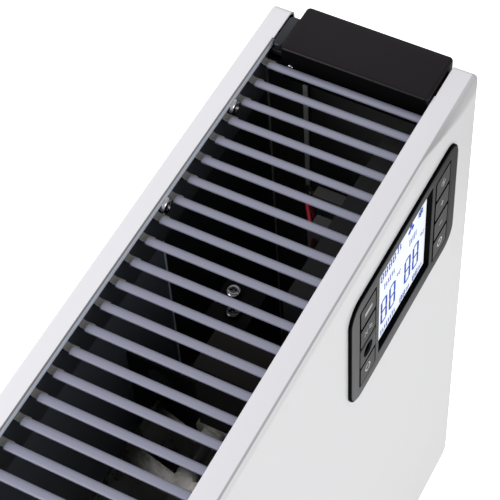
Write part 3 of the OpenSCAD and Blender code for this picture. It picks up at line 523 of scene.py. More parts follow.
def make_finishes(scene):
    """Makes the finish of every piece."""
    shells, grille = scene.heater_shells, scene.heater_grille
    caps, controls = scene.heater_caps, scene.heater_controls
    # The rear shell's coat is the shells' powder painted 8 % lighter, as painted light on the rear shell.
    finish("powder_coat", [1.08 * part for part in shells.powder], **POWDER, **GLOSS)
    # The front shell's powder carries painted shade along its top fold.
    finish("front_powder_coat", shells.powder, **POWDER, **GLOSS, shade=fold_painted_shade)
    # The rear lip's roll is the powder at about a quarter of its brightness, as painted shade.
    finish("rolled_powder_coat", [0.26 * part for part in shells.powder], **POWDER)
    # The rear lip's face is the white powder painted darker and bluer, as painted shade.
    finish("lip_powder_coat", (0.66, 0.70, 0.82), **POWDER)
    finish("inside_coat", shells.inside, 0.55, grain=700, drift=0.5, drift_scale=14)
    finish("slat_paint", grille.slat_paint, 0.36, **SLAT, drift=0.08, drift_scale=20)
    # The slats' necks are shown darker than the slats as painted shade, and their near sides lighter as a
    # painted highlight.
    finish("neck_paint", (0.15, 0.145, 0.14), 0.4, **SLAT)
    finish("rim_paint", (0.62, 0.62, 0.68), 0.36, **SLAT)
    finish("grille_wall_paint", grille.wall_paint, 0.5, grain=800, drift=0.5)
    finish("cap_plastic", caps.plastic, 0.36, **CAP, drift=0.12, specular=0.14)
    finish("ledge_strip", (0.014, 0.0155, 0.021), 0.28, **CAP, depth=0.01 * MM, drift=0.2, specular=0.4)
    # The caps' block faces towards the grille are the cap plastic painted near-black, as painted shade.
    finish("cap_back", (0.002, 0.002, 0.002), 0.5, **CAP, specular=0.05)
    finish("bezel_black", (0.0015, 0.0015, 0.002), 0.6, grain=1800, specular=0.02)
    # The bezel face carries painted shade towards its right end and a painted highlight at its left end.
    finish("bezel_face", controls.bezel_paint, 0.5, **CONTROLS, specular=0.05,
           shade=painted_light_and_shade((-0.65, (ACROSS, 215, 262)), (0.35, (ACROSS, 175, 160))))
    finish("key_paint", controls.key_paint, 0.42, **CONTROLS, specular=0.12)
    finish("mark_paint", controls.mark_paint, 0.5, grain=2000, drift=0.05)
    finish("ring_paint", (0.8, 0.8, 0.8), 0.5, grain=2000, drift=0.05)
    finish("chrome_screw", (0.55, 0.55, 0.57), 0.16, **SCREW)
    # The partition screw nearer the middle is painted 80 % darker, as painted shade.
    finish("dark_screw", (0.30, 0.30, 0.31), 0.18, **SCREW, shade=painted_light_and_shade((-0.8, (ACROSS, 147.4, 146.6))))
    spangle("zinc_sheet", (0.30, 0.31, 0.33))
    # The end frames' sheet is near-black with painted highlights along its rib's edges and on its rear
    # flange.
    outer_edge = (ACROSS, 281.4, 281.2)
    finish("end_sheet", (0.035, 0.034, 0.033), 0.45, grain=600, drift=0.3, specular=0.3,
           shade=painted_light_and_shade((14.0, outer_edge, (DEEP, 31.0, 30.8)), (9.0, outer_edge, (DEEP, 39.1, 39.3)),
                           (7.0, (DEEP, 51.6, 51.9))))
    # The rear heat shield has a painted highlight along its outer edge.
    finish("shield_sheet", (0.110, 0.125, 0.155), **DARK, shade=painted_light_and_shade((4.5, (ACROSS, 167.8, 168.1))))
    finish("dark_sheet", (0.012, 0.012, 0.013), **DARK, specular=0.1)
    # The partition is painted 75 % darker beyond about 133 mm from the middle, as painted shade on its top
    # ear.
    finish("partition_paint", (0.012, 0.011, 0.010), **DARK, specular=0.05,
           shade=painted_light_and_shade((-0.75, (ACROSS, 132.8, 133.4))))
    finish("housing_plastic", (0.010, 0.010, 0.011), 0.45, drift=0.2, specular=0.2)
    finish("foot_plastic", (0.018, 0.018, 0.019), 0.45, grain=1500, depth=0.03 * MM, drift=0.12)
    finish("rubber", (0.025, 0.025, 0.025), 0.8, grain=1100, depth=0.04 * MM, drift=0.2)
    finish("board_green", (0.010, 0.055, 0.022), 0.35, grain=600, drift=0.4, coat=0.5)
    finish("relay_blue", (0.02, 0.06, 0.22), 0.35)
    finish("ivory_plastic", (0.45, 0.43, 0.37), 0.45)
    finish("dark_plastic", (0.03, 0.03, 0.032), 0.45)
    # The heating element is near-black as painted shade, with two painted glints across its fins.
    fin_depth = ((DEEP, -14, -8), (DEEP, 24, 8))
    finish("element_aluminium", (0.03, 0.029, 0.027), 0.35, grain=700, stretch=(1, 0.15, 1), drift=4.0,
           drift_scale=60, shade=painted_light_and_shade((30.0, (ACROSS, 112, 119), (ACROSS, 127, 122), *fin_depth),
                                           (30.0, (ACROSS, 82, 91), (ACROSS, 100, 94), *fin_depth)))
    finish("ceramic", (0.62, 0.58, 0.50), 0.5, grain=700)
    finish("rotor_aluminium", (0.45, 0.46, 0.48), 0.35, metal=0.9, grain=500, stretch=(0.1, 1, 1))
    finish("motor_steel", (0.24, 0.24, 0.25), 0.4, metal=0.85, grain=800)
    finish("bronze", (0.40, 0.24, 0.11), 0.35, metal=0.95)
    finish("red_cover", (0.40, 0.012, 0.035), 0.38, grain=1500, drift=0.1)
    finish("black_cover", (0.012, 0.012, 0.012), 0.42, grain=1500, drift=0.1)
    finish("plug_plastic", (0.035, 0.034, 0.034), 0.4, grain=1200)
    finish("smoked_lens", (0.001, 0.001, 0.002), 0.8, grain=200, depth=0.002 * MM, specular=0.0)
    glow("display_lit", controls.backlight, 0.93)
    glow("display_segment", controls.segment, 1.0)


def paints(context):
    """Every finish by its name; the first call makes them."""
    if PREFIX + "powder_coat" not in bpy.data.materials:
        make_finishes(context.scene)
    return {one.name.removeprefix(PREFIX): one for one in bpy.data.materials if one.name.startswith(PREFIX)}


# Shells

def folded_pan(name, low, high, open_side, fold, roll, reach, lip, top_corner, low_corner):
    """One sheet pan with its folds, and along its top flange a roll and a lip with round ends."""
    pan = block(name, low, high)
    half_way = (low.z + high.z) / 2
    round_edges(pan, lambda a, b: runs(a, b, DEEP) and a.z > half_way, top_corner, 8)
    round_edges(pan, lambda a, b: runs(a, b, DEEP) and a.z < half_way, low_corner, 10)
    face, rim = (low.y, high.y) if open_side > 0 else (high.y, low.y)
    round_edges(pan, lambda a, b: both(a, b, DEEP, face), fold, 6)
    choose(pan, "FACE", lambda c, n: n.y * open_side > 0.9)
    bpy.ops.mesh.delete(type="FACE")
    leave()
    lip_end, notch = CAP_LOW.x + 6 * MM, 0.5 * MM
    for x in (-lip_end - notch, -lip_end, lip_end, lip_end + notch):
        slice_at(pan, (x, 0, 0), (1, 0, 0))
    choose(pan, "EDGE", lambda a, b: both(a, b, DEEP, rim) and both(a, b, UP, high.z)
           and max(abs(a.x), abs(b.x)) < lip_end + 0.1 * MM)
    shift = open_side * (reach - roll)
    bpy.ops.transform.translate(value=(0, shift, 0))
    bpy.ops.mesh.spin(steps=6, angle=-math.pi / 2 * open_side, center=(0, rim + shift, high.z - roll),
                      axis=(-1, 0, 0))
    drop, rows, end = lip - roll, 5, lip_end
    for row in range(1, rows + 1):
        depth = drop * row / rows
        extrude(0, 0, -drop / rows)
        goal = lip_end - (drop - math.sqrt(max(drop ** 2 - depth ** 2, 0)))
        bpy.ops.transform.resize(value=(goal / end, 1, 1), center_override=(0, 0, 0))
        end = goal
    leave()
    return pan


def coat_lip(pan, roll, lip):
    """Gives the outside of the rear pan's rolled edge its third material and the lip its fourth, both painted
    shade.
    """
    for one in pan.data.polygons:
        place, slope = one.center, one.normal
        if one.material_index or place.y >= REAR_LOW.y + roll:
            continue
        if slope.y < -0.85 and place.z > SHELL_TOP - lip - 1 * MM:
            one.material_index = 3
        elif slope.y < -0.15 and 0.15 < slope.z < 0.985 and place.z > SHELL_TOP - roll:
            one.material_index = 2


def slot_tool(shells):
    """The cutting tool for the rows of intake slots in the rear face."""
    columns, rows, step_x, step_z = 8, 6, 54 * MM, 11 * MM
    x = -(columns - 1) / 2 * step_x
    z = SHELL_LOW + 26 * MM
    half_w, half_h = shells.slot_length / 2, shells.slot_height / 2
    tool = soft_box("slot_tool", (x - half_w, REAR_HIGH.y - 3 * MM, z - half_h),
                    (x + half_w, REAR_HIGH.y + 2 * MM, z + half_h), DEEP, 0.96 * half_h, 0, corner_steps=5)
    repeat(tool, columns, (step_x, 0, 0))
    repeat(tool, rows, (0, 0, step_z))
    return tool


class HEATER_OT_shells(bpy.types.Operator):
    """Models the front and rear steel shells with their lips, window and intake slots"""
    bl_idname = "heater.shells"
    bl_label = "Steel shells"

    def execute(self, context):
        shells, coats = context.scene.heater_shells, paints(context)
        front = folded_pan("front_panel", FRONT_LOW, FRONT_HIGH, 1, shells.fold, shells.front_roll,
                           shells.reach, shells.front_lip, shells.front_corner, shells.low_corner)
        rear_reach = 0.3 * MM
        rear = folded_pan("rear_panel", REAR_LOW, REAR_HIGH, -1, shells.rear_fold, shells.rear_roll,
                          rear_reach, shells.rear_lip, shells.rear_corner, shells.low_corner)
        coat(front, coats["front_powder_coat"], coats["inside_coat"])
        coat(rear, coats["powder_coat"], coats["inside_coat"], coats["rolled_powder_coat"],
             coats["lip_powder_coat"])
        for pan in (front, rear):
            modify(pan, "SOLIDIFY", thickness=shells.sheet, offset=-1, use_even_offset=True,
                   material_offset=1, material_offset_rim=0)
        coat_lip(rear, shells.rear_roll, shells.rear_lip)
        margin = 2.0 * MM
        cut(front, soft_box(
            "window_tool", (BEZEL_LOW.x + margin, FRONT_LOW.y - margin, BEZEL_LOW.z + margin),
            (BEZEL_HIGH.x - margin, FRONT_LOW.y + 2 * margin, BEZEL_HIGH.z - margin), DEEP, 9 * MM, 0))
        x, _, z = middle(*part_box("cord_gland"))
        cut(rear, slot_tool(shells), rod("gland_tool", (x, REAR_HIGH.y, z), 8 * MM, 6 * MM, DEEP))
        half, tab_low = 7 * MM, 380.7 * MM
        tabs = [soft_box("tab", (x - half, WALL_BACK, tab_low),
                         (x + half, WALL_BACK + shells.sheet, SHELL_TOP - 1 * MM), DEEP, 2 * MM, 0.2 * MM)
                for x in screw_row()]
        for tab in tabs:
            coat(tab, coats["inside_coat"])
        rear = join("rear_panel", [rear, *tabs])
        dress(front, None, replaces=("front_shell",))
        dress(rear, None, replaces=("rear_shell",))
        return {"FINISHED"}


# Grille

def screw_row():
    """Middle places of the four grille screws along the heater."""
    low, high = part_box("grille_screws")
    outer = high.x - (high.z - low.z) / 2
    step = 65 * MM
    return (-outer, -outer + step, outer - step, outer)


def one_slat(grille, coats, x, front, back, top):
    """A slat: arched bar with its crest off its middle, and a neck that turns up behind the lip."""
    off_middle, shoulder, lead_in = 1.2 * MM, 1.2 * MM, 3 * MM
    foot = top - grille.height
    centre = (x - off_middle, (front + back) / 2, top - grille.crown)
    bar = rod("slat", centre, grille.crown, back - front, DEEP, 64)
    slice_at(bar, (0, 0, foot), (0, 0, -1), clear=True)
    for side in (-1, 1):
        slice_at(bar, (x + side * grille.width / 2, 0, 0), (side, 0, 0), clear=True)
    slice_at(bar, (x + grille.width / 2 - shoulder, back, 0), (3, 1.2, 0), clear=True)
    outward(bar)
    round_edges(bar, lambda a, b: both(a, b, DEEP, back) and not both(a, b, UP, foot), 0.45 * MM, 3)
    half = grille.neck_width / 2
    bend_y, bend_z = WALL_BACK - grille.neck_bend, SHELL_TOP - 4.4 * MM + 1.2 * MM
    low = bend_z - grille.neck_bend
    neck = block("neck", (x - half, back - lead_in, low), (x + half, bend_y, low + grille.neck_sheet))
    choose(neck, "FACE", lambda c, n: n.y > 0.9)
    bpy.ops.mesh.spin(steps=10, angle=math.pi / 2, center=(x, bend_y, bend_z), axis=(-1, 0, 0))
    extrude(0, 0, SHELL_TOP - 1.2 * MM - bend_z)
    leave()
    outward(neck)
    materials = (coats["slat_paint"], coats["neck_paint"], coats["rim_paint"])
    coat(bar, *materials)
    # The neck takes painted shade, and its near side a painted highlight.
    coat_faces(neck, materials, lambda c, n: 2 if n.x < -0.7 else 1)
    return outward(fuse(bar, neck))


class HEATER_OT_grille(bpy.types.Operator):
    """Models the slats, their necks and the grille's two side walls"""
    bl_idname = "heater.grille"
    bl_label = "Top grille"

    def execute(self, context):
        grille, coats = context.scene.heater_grille, paints(context)
        first = -(grille.count - 1) / 2 * grille.pitch
        slat = one_slat(grille, coats, first, FRONT_HIGH.y - 5 * MM, REAR_LOW.y - 2.6 * MM,
                        SHELL_TOP - grille.drop)
        repeat(slat, grille.count, (grille.pitch, 0, 0))
        slat.name = "grille_slats"
        dress(slat, None, replaces=("top_grille",), degrees=50)
        housing_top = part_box("control_housing")[1].z
        spans = ((WALL_BACK - grille.wall, WALL_BACK, GRILLE_LOW.z, SHELL_TOP - 1.45 * MM),
                 (FRONT_HIGH.y - 5.4 * MM, FRONT_HIGH.y - 4.6 * MM, housing_top + 0.8 * MM,
                  SHELL_TOP - 1.05 * MM))
        walls = [soft_box("wall", (GRILLE_LOW.x, y0, z0), (GRILLE_HIGH.x, y1, z1), DEEP, 1 * MM, 0.2 * MM)
                 for y0, y1, z0, z1 in spans]
        dress(join("grille_walls", walls), coats["grille_wall_paint"])
        return {"FINISHED"}


# Screws

def cross_screw(place, aim, turn, head, rise, shank, size):
    """A pan-head screw with a cross recess; aim points from the shank to the head."""
    dome = rod("screw", (0, 0, rise / 2), head, rise, UP, 40)
    round_edges(dome, lambda a, b: both(a, b, UP, rise), min(0.78 * rise, 0.5 * head), 7, 0.55)
    round_edges(dome, lambda a, b: both(a, b, UP, 0), 0.12 * rise, 2)
    arm, width, sink, taper = 0.56 * head, 0.17 * head, 0.62 * rise, 0.55
    for a, b in ((arm, width), (width, arm)):
        tool = block("recess", (-a, -b, rise - sink), (a, b, rise + 1 * MM))
        choose(tool, "FACE", lambda c, n: n.z < -0.9)
        bpy.ops.transform.resize(value=(taper, taper, 1), center_override=(0, 0, 0))
        leave()
        cut(dome, tool)
    screw = join("screw", [dome, rod("stem", (0, 0, -size / 2), shank, size, UP, 20)])
    turned = Vector(aim).to_track_quat("Z", "Y").to_matrix().to_4x4() @ Matrix.Rotation(turn, 4, "Z")
    screw.matrix_world = Matrix.Translation(place) @ turned
    return settle(screw)


def screw_set(node, coat_of_set, sizes, seats):
    """The screws of a node. Sizes are head radius, head height, shank radius and length in millimetres;
    a seat is a screw's place, aim and turn."""
    made = [cross_screw(*seat, *(size * MM for size in sizes)) for seat in seats]
    group = join(node.removesuffix("s") + "_set", made)
    dress(group, coat_of_set, replaces=(node,), degrees=30)


class HEATER_OT_screws(bpy.types.Operator):
    """Models the cross-head screws of the grille, caps, partition and rear panel"""
    bl_idname = "heater.screws"
    bl_label = "Screws"

    def execute(self, context):
        coats = paints(context)
        chrome = coats["chrome_screw"]
        z = middle(*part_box("grille_screws"))[2]
        screw_set("grille_screws", chrome, (4.25, 2.4, 1.7, 6),
                  [((x, REAR_LOW.y, z), (0, -1, 0), turn)
                   for x, turn in zip(screw_row(), (0.5, 1.1, 0.25, 0.72))])
        low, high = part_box("cap_screws")
        _, y, z = middle(low, high)
        x = high.x - 4 * MM
        screw_set("cap_screws", chrome, (1.9, 1.1, 1.05, 3.9),
                  [((side * x, y, z), (-side, 0, 0), 0.4) for side in (-1, 1)])
        low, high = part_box("partition_screws")
        head, rise = 3.75, 2.6
        places = ((high.x - head * MM, high.y - head * MM), (low.x + head * MM, low.y + head * MM))
        screw_set("partition_screws", coats["dark_screw"], (head, rise, 1.7, 5),
                  [((x, y, high.z - rise * MM), (0, 0, 1), turn) for (x, y), turn in zip(places, (0.3, 0.9))])
        low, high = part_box("shell_screws")
        head = 3.55
        x = high.x - head * MM
        heights = (low.z + head * MM, SHELL_LOW + (SHELL_TOP - SHELL_LOW) / 2, high.z - head * MM)
        screw_set("shell_screws", chrome, (head, 2.2, 1.7, 5),
                  [((side * x, REAR_HIGH.y, z), (0, 1, 0), 0.5 * i) for side in (-1, 1)
                   for i, z in enumerate(heights)])
        return {"FINISHED"}


# End caps

def end_cap(caps, coats):
    """The right end cap: block over the ledges, tall outer body with the hand grip, side plate and strip."""
    y0, y1 = caps.block_front, caps.block_front + caps.block_depth
    outer, low, top = CAP_HIGH.x, CAP_LOW.z, CAP_HIGH.z
    block_x, block_low = outer - caps.block, SHELL_TOP - 18 * MM
    rib_x, side_x = END_X - 5.5 * MM, END_X - 2.5 * MM
    body = block("right_cap", (rib_x, y0, low), (outer, y1, top))
    slice_at(body, (0, 0, block_low), (0, 0, 1))
    choose(body, "FACE", lambda c, n: n.x < -0.9 and c.z > block_low)
    extrude(block_x - rib_x, 0, 0)
    leave()
    round_edges(body, lambda a, b: runs(a, b, UP) and (a.x > outer - 1 * MM or a.x < rib_x - 1 * MM),
                caps.corner, 7)
    round_edges(body, lambda a, b: both(a, b, UP, top), caps.edge, 5)
    grip_floor, grip_wall, mid_y = END_X - 10.5 * MM, 2.5 * MM, (y0 + y1) / 2
    grip_z = SHELL_TOP - 60 * MM - caps.grip_height / 2

    def grip_box(name, x0, x1, corner, wall):
        half_y, half_z = caps.grip_width / 2 + wall, caps.grip_height / 2 + wall
        return soft_box(name, (x0, mid_y - half_y, grip_z - half_z), (x1, mid_y + half_y, grip_z + half_z),
                        ACROSS, corner, 0)

    tool = grip_box("grip_tool", grip_floor, outer + 4 * MM, 12 * MM, 0)
    round_edges(tool, lambda a, b: both(a, b, ACROSS, grip_floor), 2.5 * MM, 4)
    fuse(body, grip_box("grip_back", grip_floor - grip_wall, rib_x + 1 * MM, 14 * MM, grip_wall))
    cut(body, tool)
    ledge_top = SHELL_TOP - 3.5 * MM
    front, back = FRONT_HIGH.y + 0.3 * MM, REAR_LOW.y - 0.3 * MM
    plate = soft_box("cap_plate", (rib_x, front, low), (side_x, back, ledge_top), ACROSS, 0.8 * MM, 0.3 * MM)
    ledge = soft_box("cap_ledge", (block_x + 2 * MM, front, ledge_top - 3 * MM),
                     (side_x - 0.2 * MM, back, ledge_top), UP, 1 * MM, 0.4 * MM)
    strip = soft_box("cap_strip", (block_x + 3.2 * MM, y1 + 0.3 * MM, ledge_top - 0.5 * MM),
                     (side_x - 2.2 * MM, REAR_LOW.y - 0.35 * MM, SHELL_TOP - 0.5 * MM),
                     UP, 2.6 * MM, 0.8 * MM, (1,))
    tongue = soft_box("cap_tongue", (END_X - 3.4 * MM, front - 5 * MM, low + 6 * MM),
                      (END_X - 1.0 * MM, back + 5 * MM, ledge_top - 6 * MM), ACROSS, 2 * MM, 0.3 * MM)
    for piece in (plate, ledge, tongue):
        coat(piece, coats["cap_plastic"])
    coat(strip, coats["ledge_strip"])
    # The block's faces towards the grille take the painted shade.
    coat_faces(body, (coats["cap_plastic"], coats["cap_back"]),
               lambda c, n: int(n.x < -0.8 and c.z > block_low))
    return join("right_cap", [body, plate, ledge, strip, tongue])


class HEATER_OT_caps(bpy.types.Operator):
    """Models the moulded end caps with their hand grips"""
    bl_idname = "heater.caps"
    bl_label = "End caps"

    def execute(self, context):
        right = end_cap(context.scene.heater_caps, paints(context))
        left = copy_of(right, "left_cap", flip=True)
        dress(right, None, replaces=("right_end_cap",))
        dress(left, None, replaces=("left_end_cap",))
        return {"FINISHED"}


# Bezel, keys and display

def bezel_openings(controls, grow, front, back):
    """Cutting tools for the display window and the two key pockets."""
    edge, gap = 0.2 * MM + grow, controls.key_gap + grow
    tools = [soft_box("window_tool", (LENS_LOW.x - edge, front, LENS_LOW.z - edge),
                      (LENS_HIGH.x + edge, back, LENS_HIGH.z + edge), DEEP, 1.2 * MM, 0)]
    for upper, lower in (("key_light", "key_power"), ("key_heat", "key_timer")):
        (left, _, _), (right, _, top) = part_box(upper)
        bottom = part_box(lower)[0].z
        tools.append(soft_box("pocket_tool", (left - gap, front, bottom - gap),
                              (right + gap, back, top + gap), DEEP, 1.6 * MM, 0))
    return tools


class HEATER_OT_bezel(bpy.types.Operator):
    """Models the bezel body, its face plate and the receiver"""
    bl_idname = "heater.bezel"
    bl_label = "Bezel"

    def execute(self, context):
        controls, coats = context.scene.heater_controls, paints(context)
        low, high = BEZEL_LOW, BEZEL_HIGH
        seat, front = FRONT_LOW.y, FRONT_LOW.y - controls.stand_out
        lip, inset, over = 2.2 * MM, 0.5 * MM, 2 * MM
        body = soft_box("bezel_body", (low.x, front + controls.face, low.z), (high.x, seat, high.z),
                        DEEP, controls.corner, 0.35 * MM, (-1,), corner_steps=12)
        core = soft_box("core", (low.x + lip, seat - 0.3 * MM, low.z + lip),
                        (high.x - lip, high.y, high.z - lip), DEEP, controls.corner - lip, 0, corner_steps=12)
        fuse(body, core)
        window, left, right = bezel_openings(controls, 0, front - over, high.y - 2 * MM)
        through = copy_of(window, "through_tool", shift=(0, 4 * MM, 0))
        stems = []
        for name in KEYS:
            x, _, z = middle(*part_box(name))
            stems.append(rod("stem_tool", (x, high.y, z), 2.1 * MM, 8 * MM, DEEP, 24))
        cut(body, window, through, left, right, *stems)
        dress(body, coats["bezel_black"], replaces=("bezel_frame",))
        face = soft_box("bezel_plate", (low.x + 2 * inset, front, low.z + inset),
                        (high.x - inset, front + controls.face, high.z - 2 * inset), DEEP,
                        controls.corner - inset, 0.12 * MM, (-1,), corner_steps=12, edge_steps=3)
        cut(face, *bezel_openings(controls, 0.1 * MM, front - over, front + over))
        dress(face, coats["bezel_face"], replaces=("bezel_face",))
        low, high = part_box("receiver_cell")
        x, _, z = middle(low, high)
        cell = soft_box("receiver_body", low, high, DEEP, 1.2 * MM, 0.45 * MM, (-1,))
        cut(cell, rod("well", (x, low.y, z), 4.6 * MM, 4 * MM, DEEP, 40))
        dress(cell, coats["key_paint"], replaces=("receiver_cell",))
        low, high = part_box("receiver_lens")
        x, _, z = middle(low, high)
        radius = (high.x - low.x) / 2
        bpy.ops.mesh.primitive_uv_sphere_add(
            segments=40, ring_count=24, radius=radius, location=(x, high.y, z),
            scale=(1, (high.y - low.y) / radius, 1))
        lens = settle(context.object, "receiver_window")
        slice_at(lens, (0, high.y - 0.01 * MM, 0), (0, 1, 0), clear=True)
        dress(lens, coats["smoked_lens"], replaces=("receiver_lens",))
        return {"FINISHED"}


def bar(x, z, width, height, layer, angle=0):
    """A flat bar about x, z between the two depths of its layer, turned in its plane by the angle."""
    front, back = layer
    piece = block("mark", (x - width / 2, front, z - height / 2), (x + width / 2, back, z + height / 2))
    if angle:
        centre = Matrix.Translation((x, 0, z))
        piece.matrix_world = centre @ Matrix.Rotation(angle, 4, "Y") @ centre.inverted()
        settle(piece)
    return piece


def ring_mark(x, z, radius, line, layer, sides=32):
    front, back = layer
    ring = rod("ring", (x, (front + back) / 2, z), radius, back - front, DEEP, sides)
    return cut(ring, rod("hole", (x, front, z), radius - line, 4 * MM, DEEP, sides))


# Each key's mark: the radius of its ring, then its bars as right, up, width, height, turn and lift.
# Lengths are in millimetres and turns in radians.
KEYS = {
    "key_light": (0, (0, 0, 7.4, 2.4, 0, 0)),
    "key_mode": (0, (-2.2, 0, 4.4, 0.6, 0.9, 0), (-2.2, 0, 4.4, 0.6, -0.5, 0), (2.4, 0.9, 4.2, 0.6, 0.6, 0),
                 (2.4, -0.9, 4.2, 0.6, 0.6, 0)),
    "key_power": (2.6, (0, 1.7, 0.6, 2.6, 0, 0)),
    "key_heat": (0, (-1.0, 1.2, 4.0, 0.8, -0.8, 0), (0, 0, 3.4, 0.8, 0.35, 0),
                 (1.0, -1.2, 4.0, 0.8, -0.8, 0)),
    "key_up": (0, (0, 0, 3.4, 0.7, 0, 0), (0, 0, 0.7, 3.4, 0, 0.01)),
    "key_down": (0, (0, 0, 3.4, 0.7, 0, 0)),
    "key_timer": (2.7, (0, 0.8, 0.5, 1.8, 0, 0), (0.7, 0, 1.6, 0.5, 0, 0)),
}


def key_marks(name, x, z, front, back):
    """The printed mark of a key, as thin raised shapes."""
    ring, *bars = KEYS[name]
    made = []
    if ring:
        made.append(ring_mark(x, z, ring * MM, 0.6 * MM, (front, back)))
    if name == "key_power":
        cut(made[0], bar(x, z + 2.4 * MM, 1.6 * MM, 2 * MM, (front - MM, back + MM)))
    for right, up, width, height, turn, lift in bars:
        layer = (front - lift * MM, back)
        made.append(bar(x + right * MM, z + up * MM, width * MM, height * MM, layer, turn))
    return made


class HEATER_OT_keys(bpy.types.Operator):
    """Models the seven keys with their printed marks"""
    bl_idname = "heater.keys"
    bl_label = "Keys"

    def execute(self, context):
        trim, coats = context.scene.heater_controls.key_trim, paints(context)
        for name in KEYS:
            low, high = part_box(name)
            x, _, z = middle(low, high)
            face_back = low.y + 3.2 * MM
            cap = soft_box(name + "_cap", (low.x + trim, low.y, low.z + trim),
                           (high.x - trim, face_back, high.z - trim), DEEP, 1.2 * MM, 0.45 * MM, (-1,))
            stem = rod("stem", (x, (face_back + high.y) / 2, z), 2 * MM, high.y - face_back, DEEP, 24)
            collar = rod("collar", (x, high.y - 0.5 * MM, z), 3 * MM, 1 * MM, DEEP, 24)
            marks = key_marks(name, x, z, low.y, low.y + 0.1 * MM)
            for mark in marks:
                coat(mark, coats["ring_paint" if mark.name.startswith("ring") else "mark_paint"])
            # A key's sides take the bezel's near-black as painted shade in the gaps round the key.
            coat_faces(cap, (coats["key_paint"], coats["bezel_black"]), front_first)
            choose(cap, "FACE", lambda c, n: n.y < -0.99)
            bpy.ops.transform.translate(value=(0, 0.04 * MM, 0))
            leave()
            key = join(name + "_cap", [cap, stem, collar, *marks])
            dress(key, None, body=name, replaces=(name,))
        return {"FINISHED"}


def digit(x, z, width, height, line, layer):
    """A seven-segment eight with pointed bars; line is the width of its upright bars."""
    thin = 0.72 * line
    bars = [bar(x, z + row * (height - thin) / 2, width - 1.5 * line, thin, layer) for row in (-1, 0, 1)]
    bars += [bar(x + side * (width - line) / 2, z + half * (height - thin) / 4, line,
                 (height - thin) / 2 - 0.35 * thin, layer) for side in (-1, 1) for half in (-1, 1)]
    made = join("digit", bars)
    round_edges(made, lambda a, b: runs(a, b, DEEP), 0.25 * line, 1)
    return made


def tooth_row(x0, x1, z, height, count, layer):
    """A row of small upright marks with a foot line, standing for a printed word."""
    step, foot = (x1 - x0) / count, (layer[0] + 0.005 * MM, layer[1])
    made = []
    for i in range(count):
        x, tall = x0 + (i + 0.5) * step, height * (0.75 if i % 3 else 1)
        foot_z = z - (tall / 2 - 0.15 * MM) * (1 if i % 2 else -1)
        made += [bar(x, z, 0.36 * step, tall, layer), bar(x, foot_z, 0.75 * step, 0.5 * MM, foot)]
    return made


# The display's digits and word marks, in parts of its width and height; a digit's line is in millimetres
DIGIT_ROWS = (  # right, down, step, count, width, height, line
    (0.155, 0.215, 0.075, 4, 0.058, 0.095, 0.85),
    (0.20, 0.68, 0.16, 2, 0.122, 0.305, 1.75), (0.655, 0.68, 0.16, 2, 0.122, 0.305, 1.75),
    (0.542, 0.945, 0.060, 2, 0.048, 0.075, 0.75), (0.792, 0.945, 0.060, 2, 0.048, 0.075, 0.75),
)
WORD_ROWS = (  # start, end, down, height, teeth
    (0.43, 0.52, 0.205, 0.09, 2), (0.19, 0.40, 0.385, 0.07, 6), (0.67, 0.82, 0.375, 0.08, 5),
    (0.135, 0.43, 0.945, 0.065, 8), (0.64, 0.71, 0.95, 0.05, 3), (0.89, 0.96, 0.95, 0.05, 3),
)


def display_marks():
    """The display's digits, word marks and icons: a fan, a frost star and two degree signs."""
    wide, tall = LENS_HIGH.x - LENS_LOW.x, LENS_HIGH.z - LENS_LOW.z
    front, back = layer = (LENS_LOW.y, LENS_LOW.y + 0.12 * MM)

    def spot_at(right, down):
        return LENS_LOW.x + right * wide, LENS_HIGH.z - down * tall

    made = []
    for right, down, step, count, width, height, line in DIGIT_ROWS:
        made += [digit(*spot_at(right + step * i, down), width * wide, height * tall, line * MM, layer)
                 for i in range(count)]
    for start, end, down, height, teeth in WORD_ROWS:
        x0, z = spot_at(start, down)
        made += tooth_row(x0, spot_at(end, down)[0], z, height * tall, teeth, layer)
    x, z = spot_at(0.70, 0.205)
    for k in range(3):
        angle = math.radians(90 + 120 * k)
        place = (x + 1.9 * MM * math.cos(angle), (front + back) / 2, z + 1.9 * MM * math.sin(angle))
        made.append(rod("blade", place, 1.5 * MM, back - front, DEEP, 20))
    x, z = spot_at(0.885, 0.21)
    for k in range(6):
        angle = math.pi / 3 * k + math.pi / 6
        if k < 3:
            made.append(bar(x, z, 6.0 * MM, 0.8 * MM, layer, angle))
        made.append(bar(x + 2.1 * MM * math.cos(angle), z + 2.1 * MM * math.sin(angle), 0.7 * MM, 2.0 * MM,
                        layer, -angle))
    for mark in (0.47, 0.93):
        made += [ring_mark(*spot_at(mark - 0.012, 0.52), 1.0 * MM, 0.5 * MM, layer, 16),
                 bar(*spot_at(mark + 0.035, 0.515), 1.6 * MM, 0.6 * MM, layer),
                 bar(*spot_at(mark + 0.025, 0.54), 0.6 * MM, 2.0 * MM, layer)]
    return join("display_marks", made)


class HEATER_OT_display(bpy.types.Operator):
    """Models the display's body, its lit cell and its segments"""
    bl_idname = "heater.display"
    bl_label = "Display"

    def execute(self, context):
        coats = paints(context)
        module = soft_box("display_body", *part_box("display_module"), DEEP, 0.8 * MM, 0.15 * MM)
        dress(module, coats["bezel_black"], replaces=("display_module",))
        dress(display_marks(), coats["display_segment"], degrees=20)
        cell = soft_box("display_cell", (LENS_LOW.x, LENS_LOW.y + 0.06 * MM, LENS_LOW.z),
                        (LENS_HIGH.x, LENS_HIGH.y - 0.15 * MM, LENS_HIGH.z), DEEP, 0.4 * MM, 0.05 * MM)
        coat_faces(cell, (coats["display_lit"], coats["bezel_black"]), front_first)
        dress(cell, None, replaces=("display_lens",))
        return {"FINISHED"}


# Feet

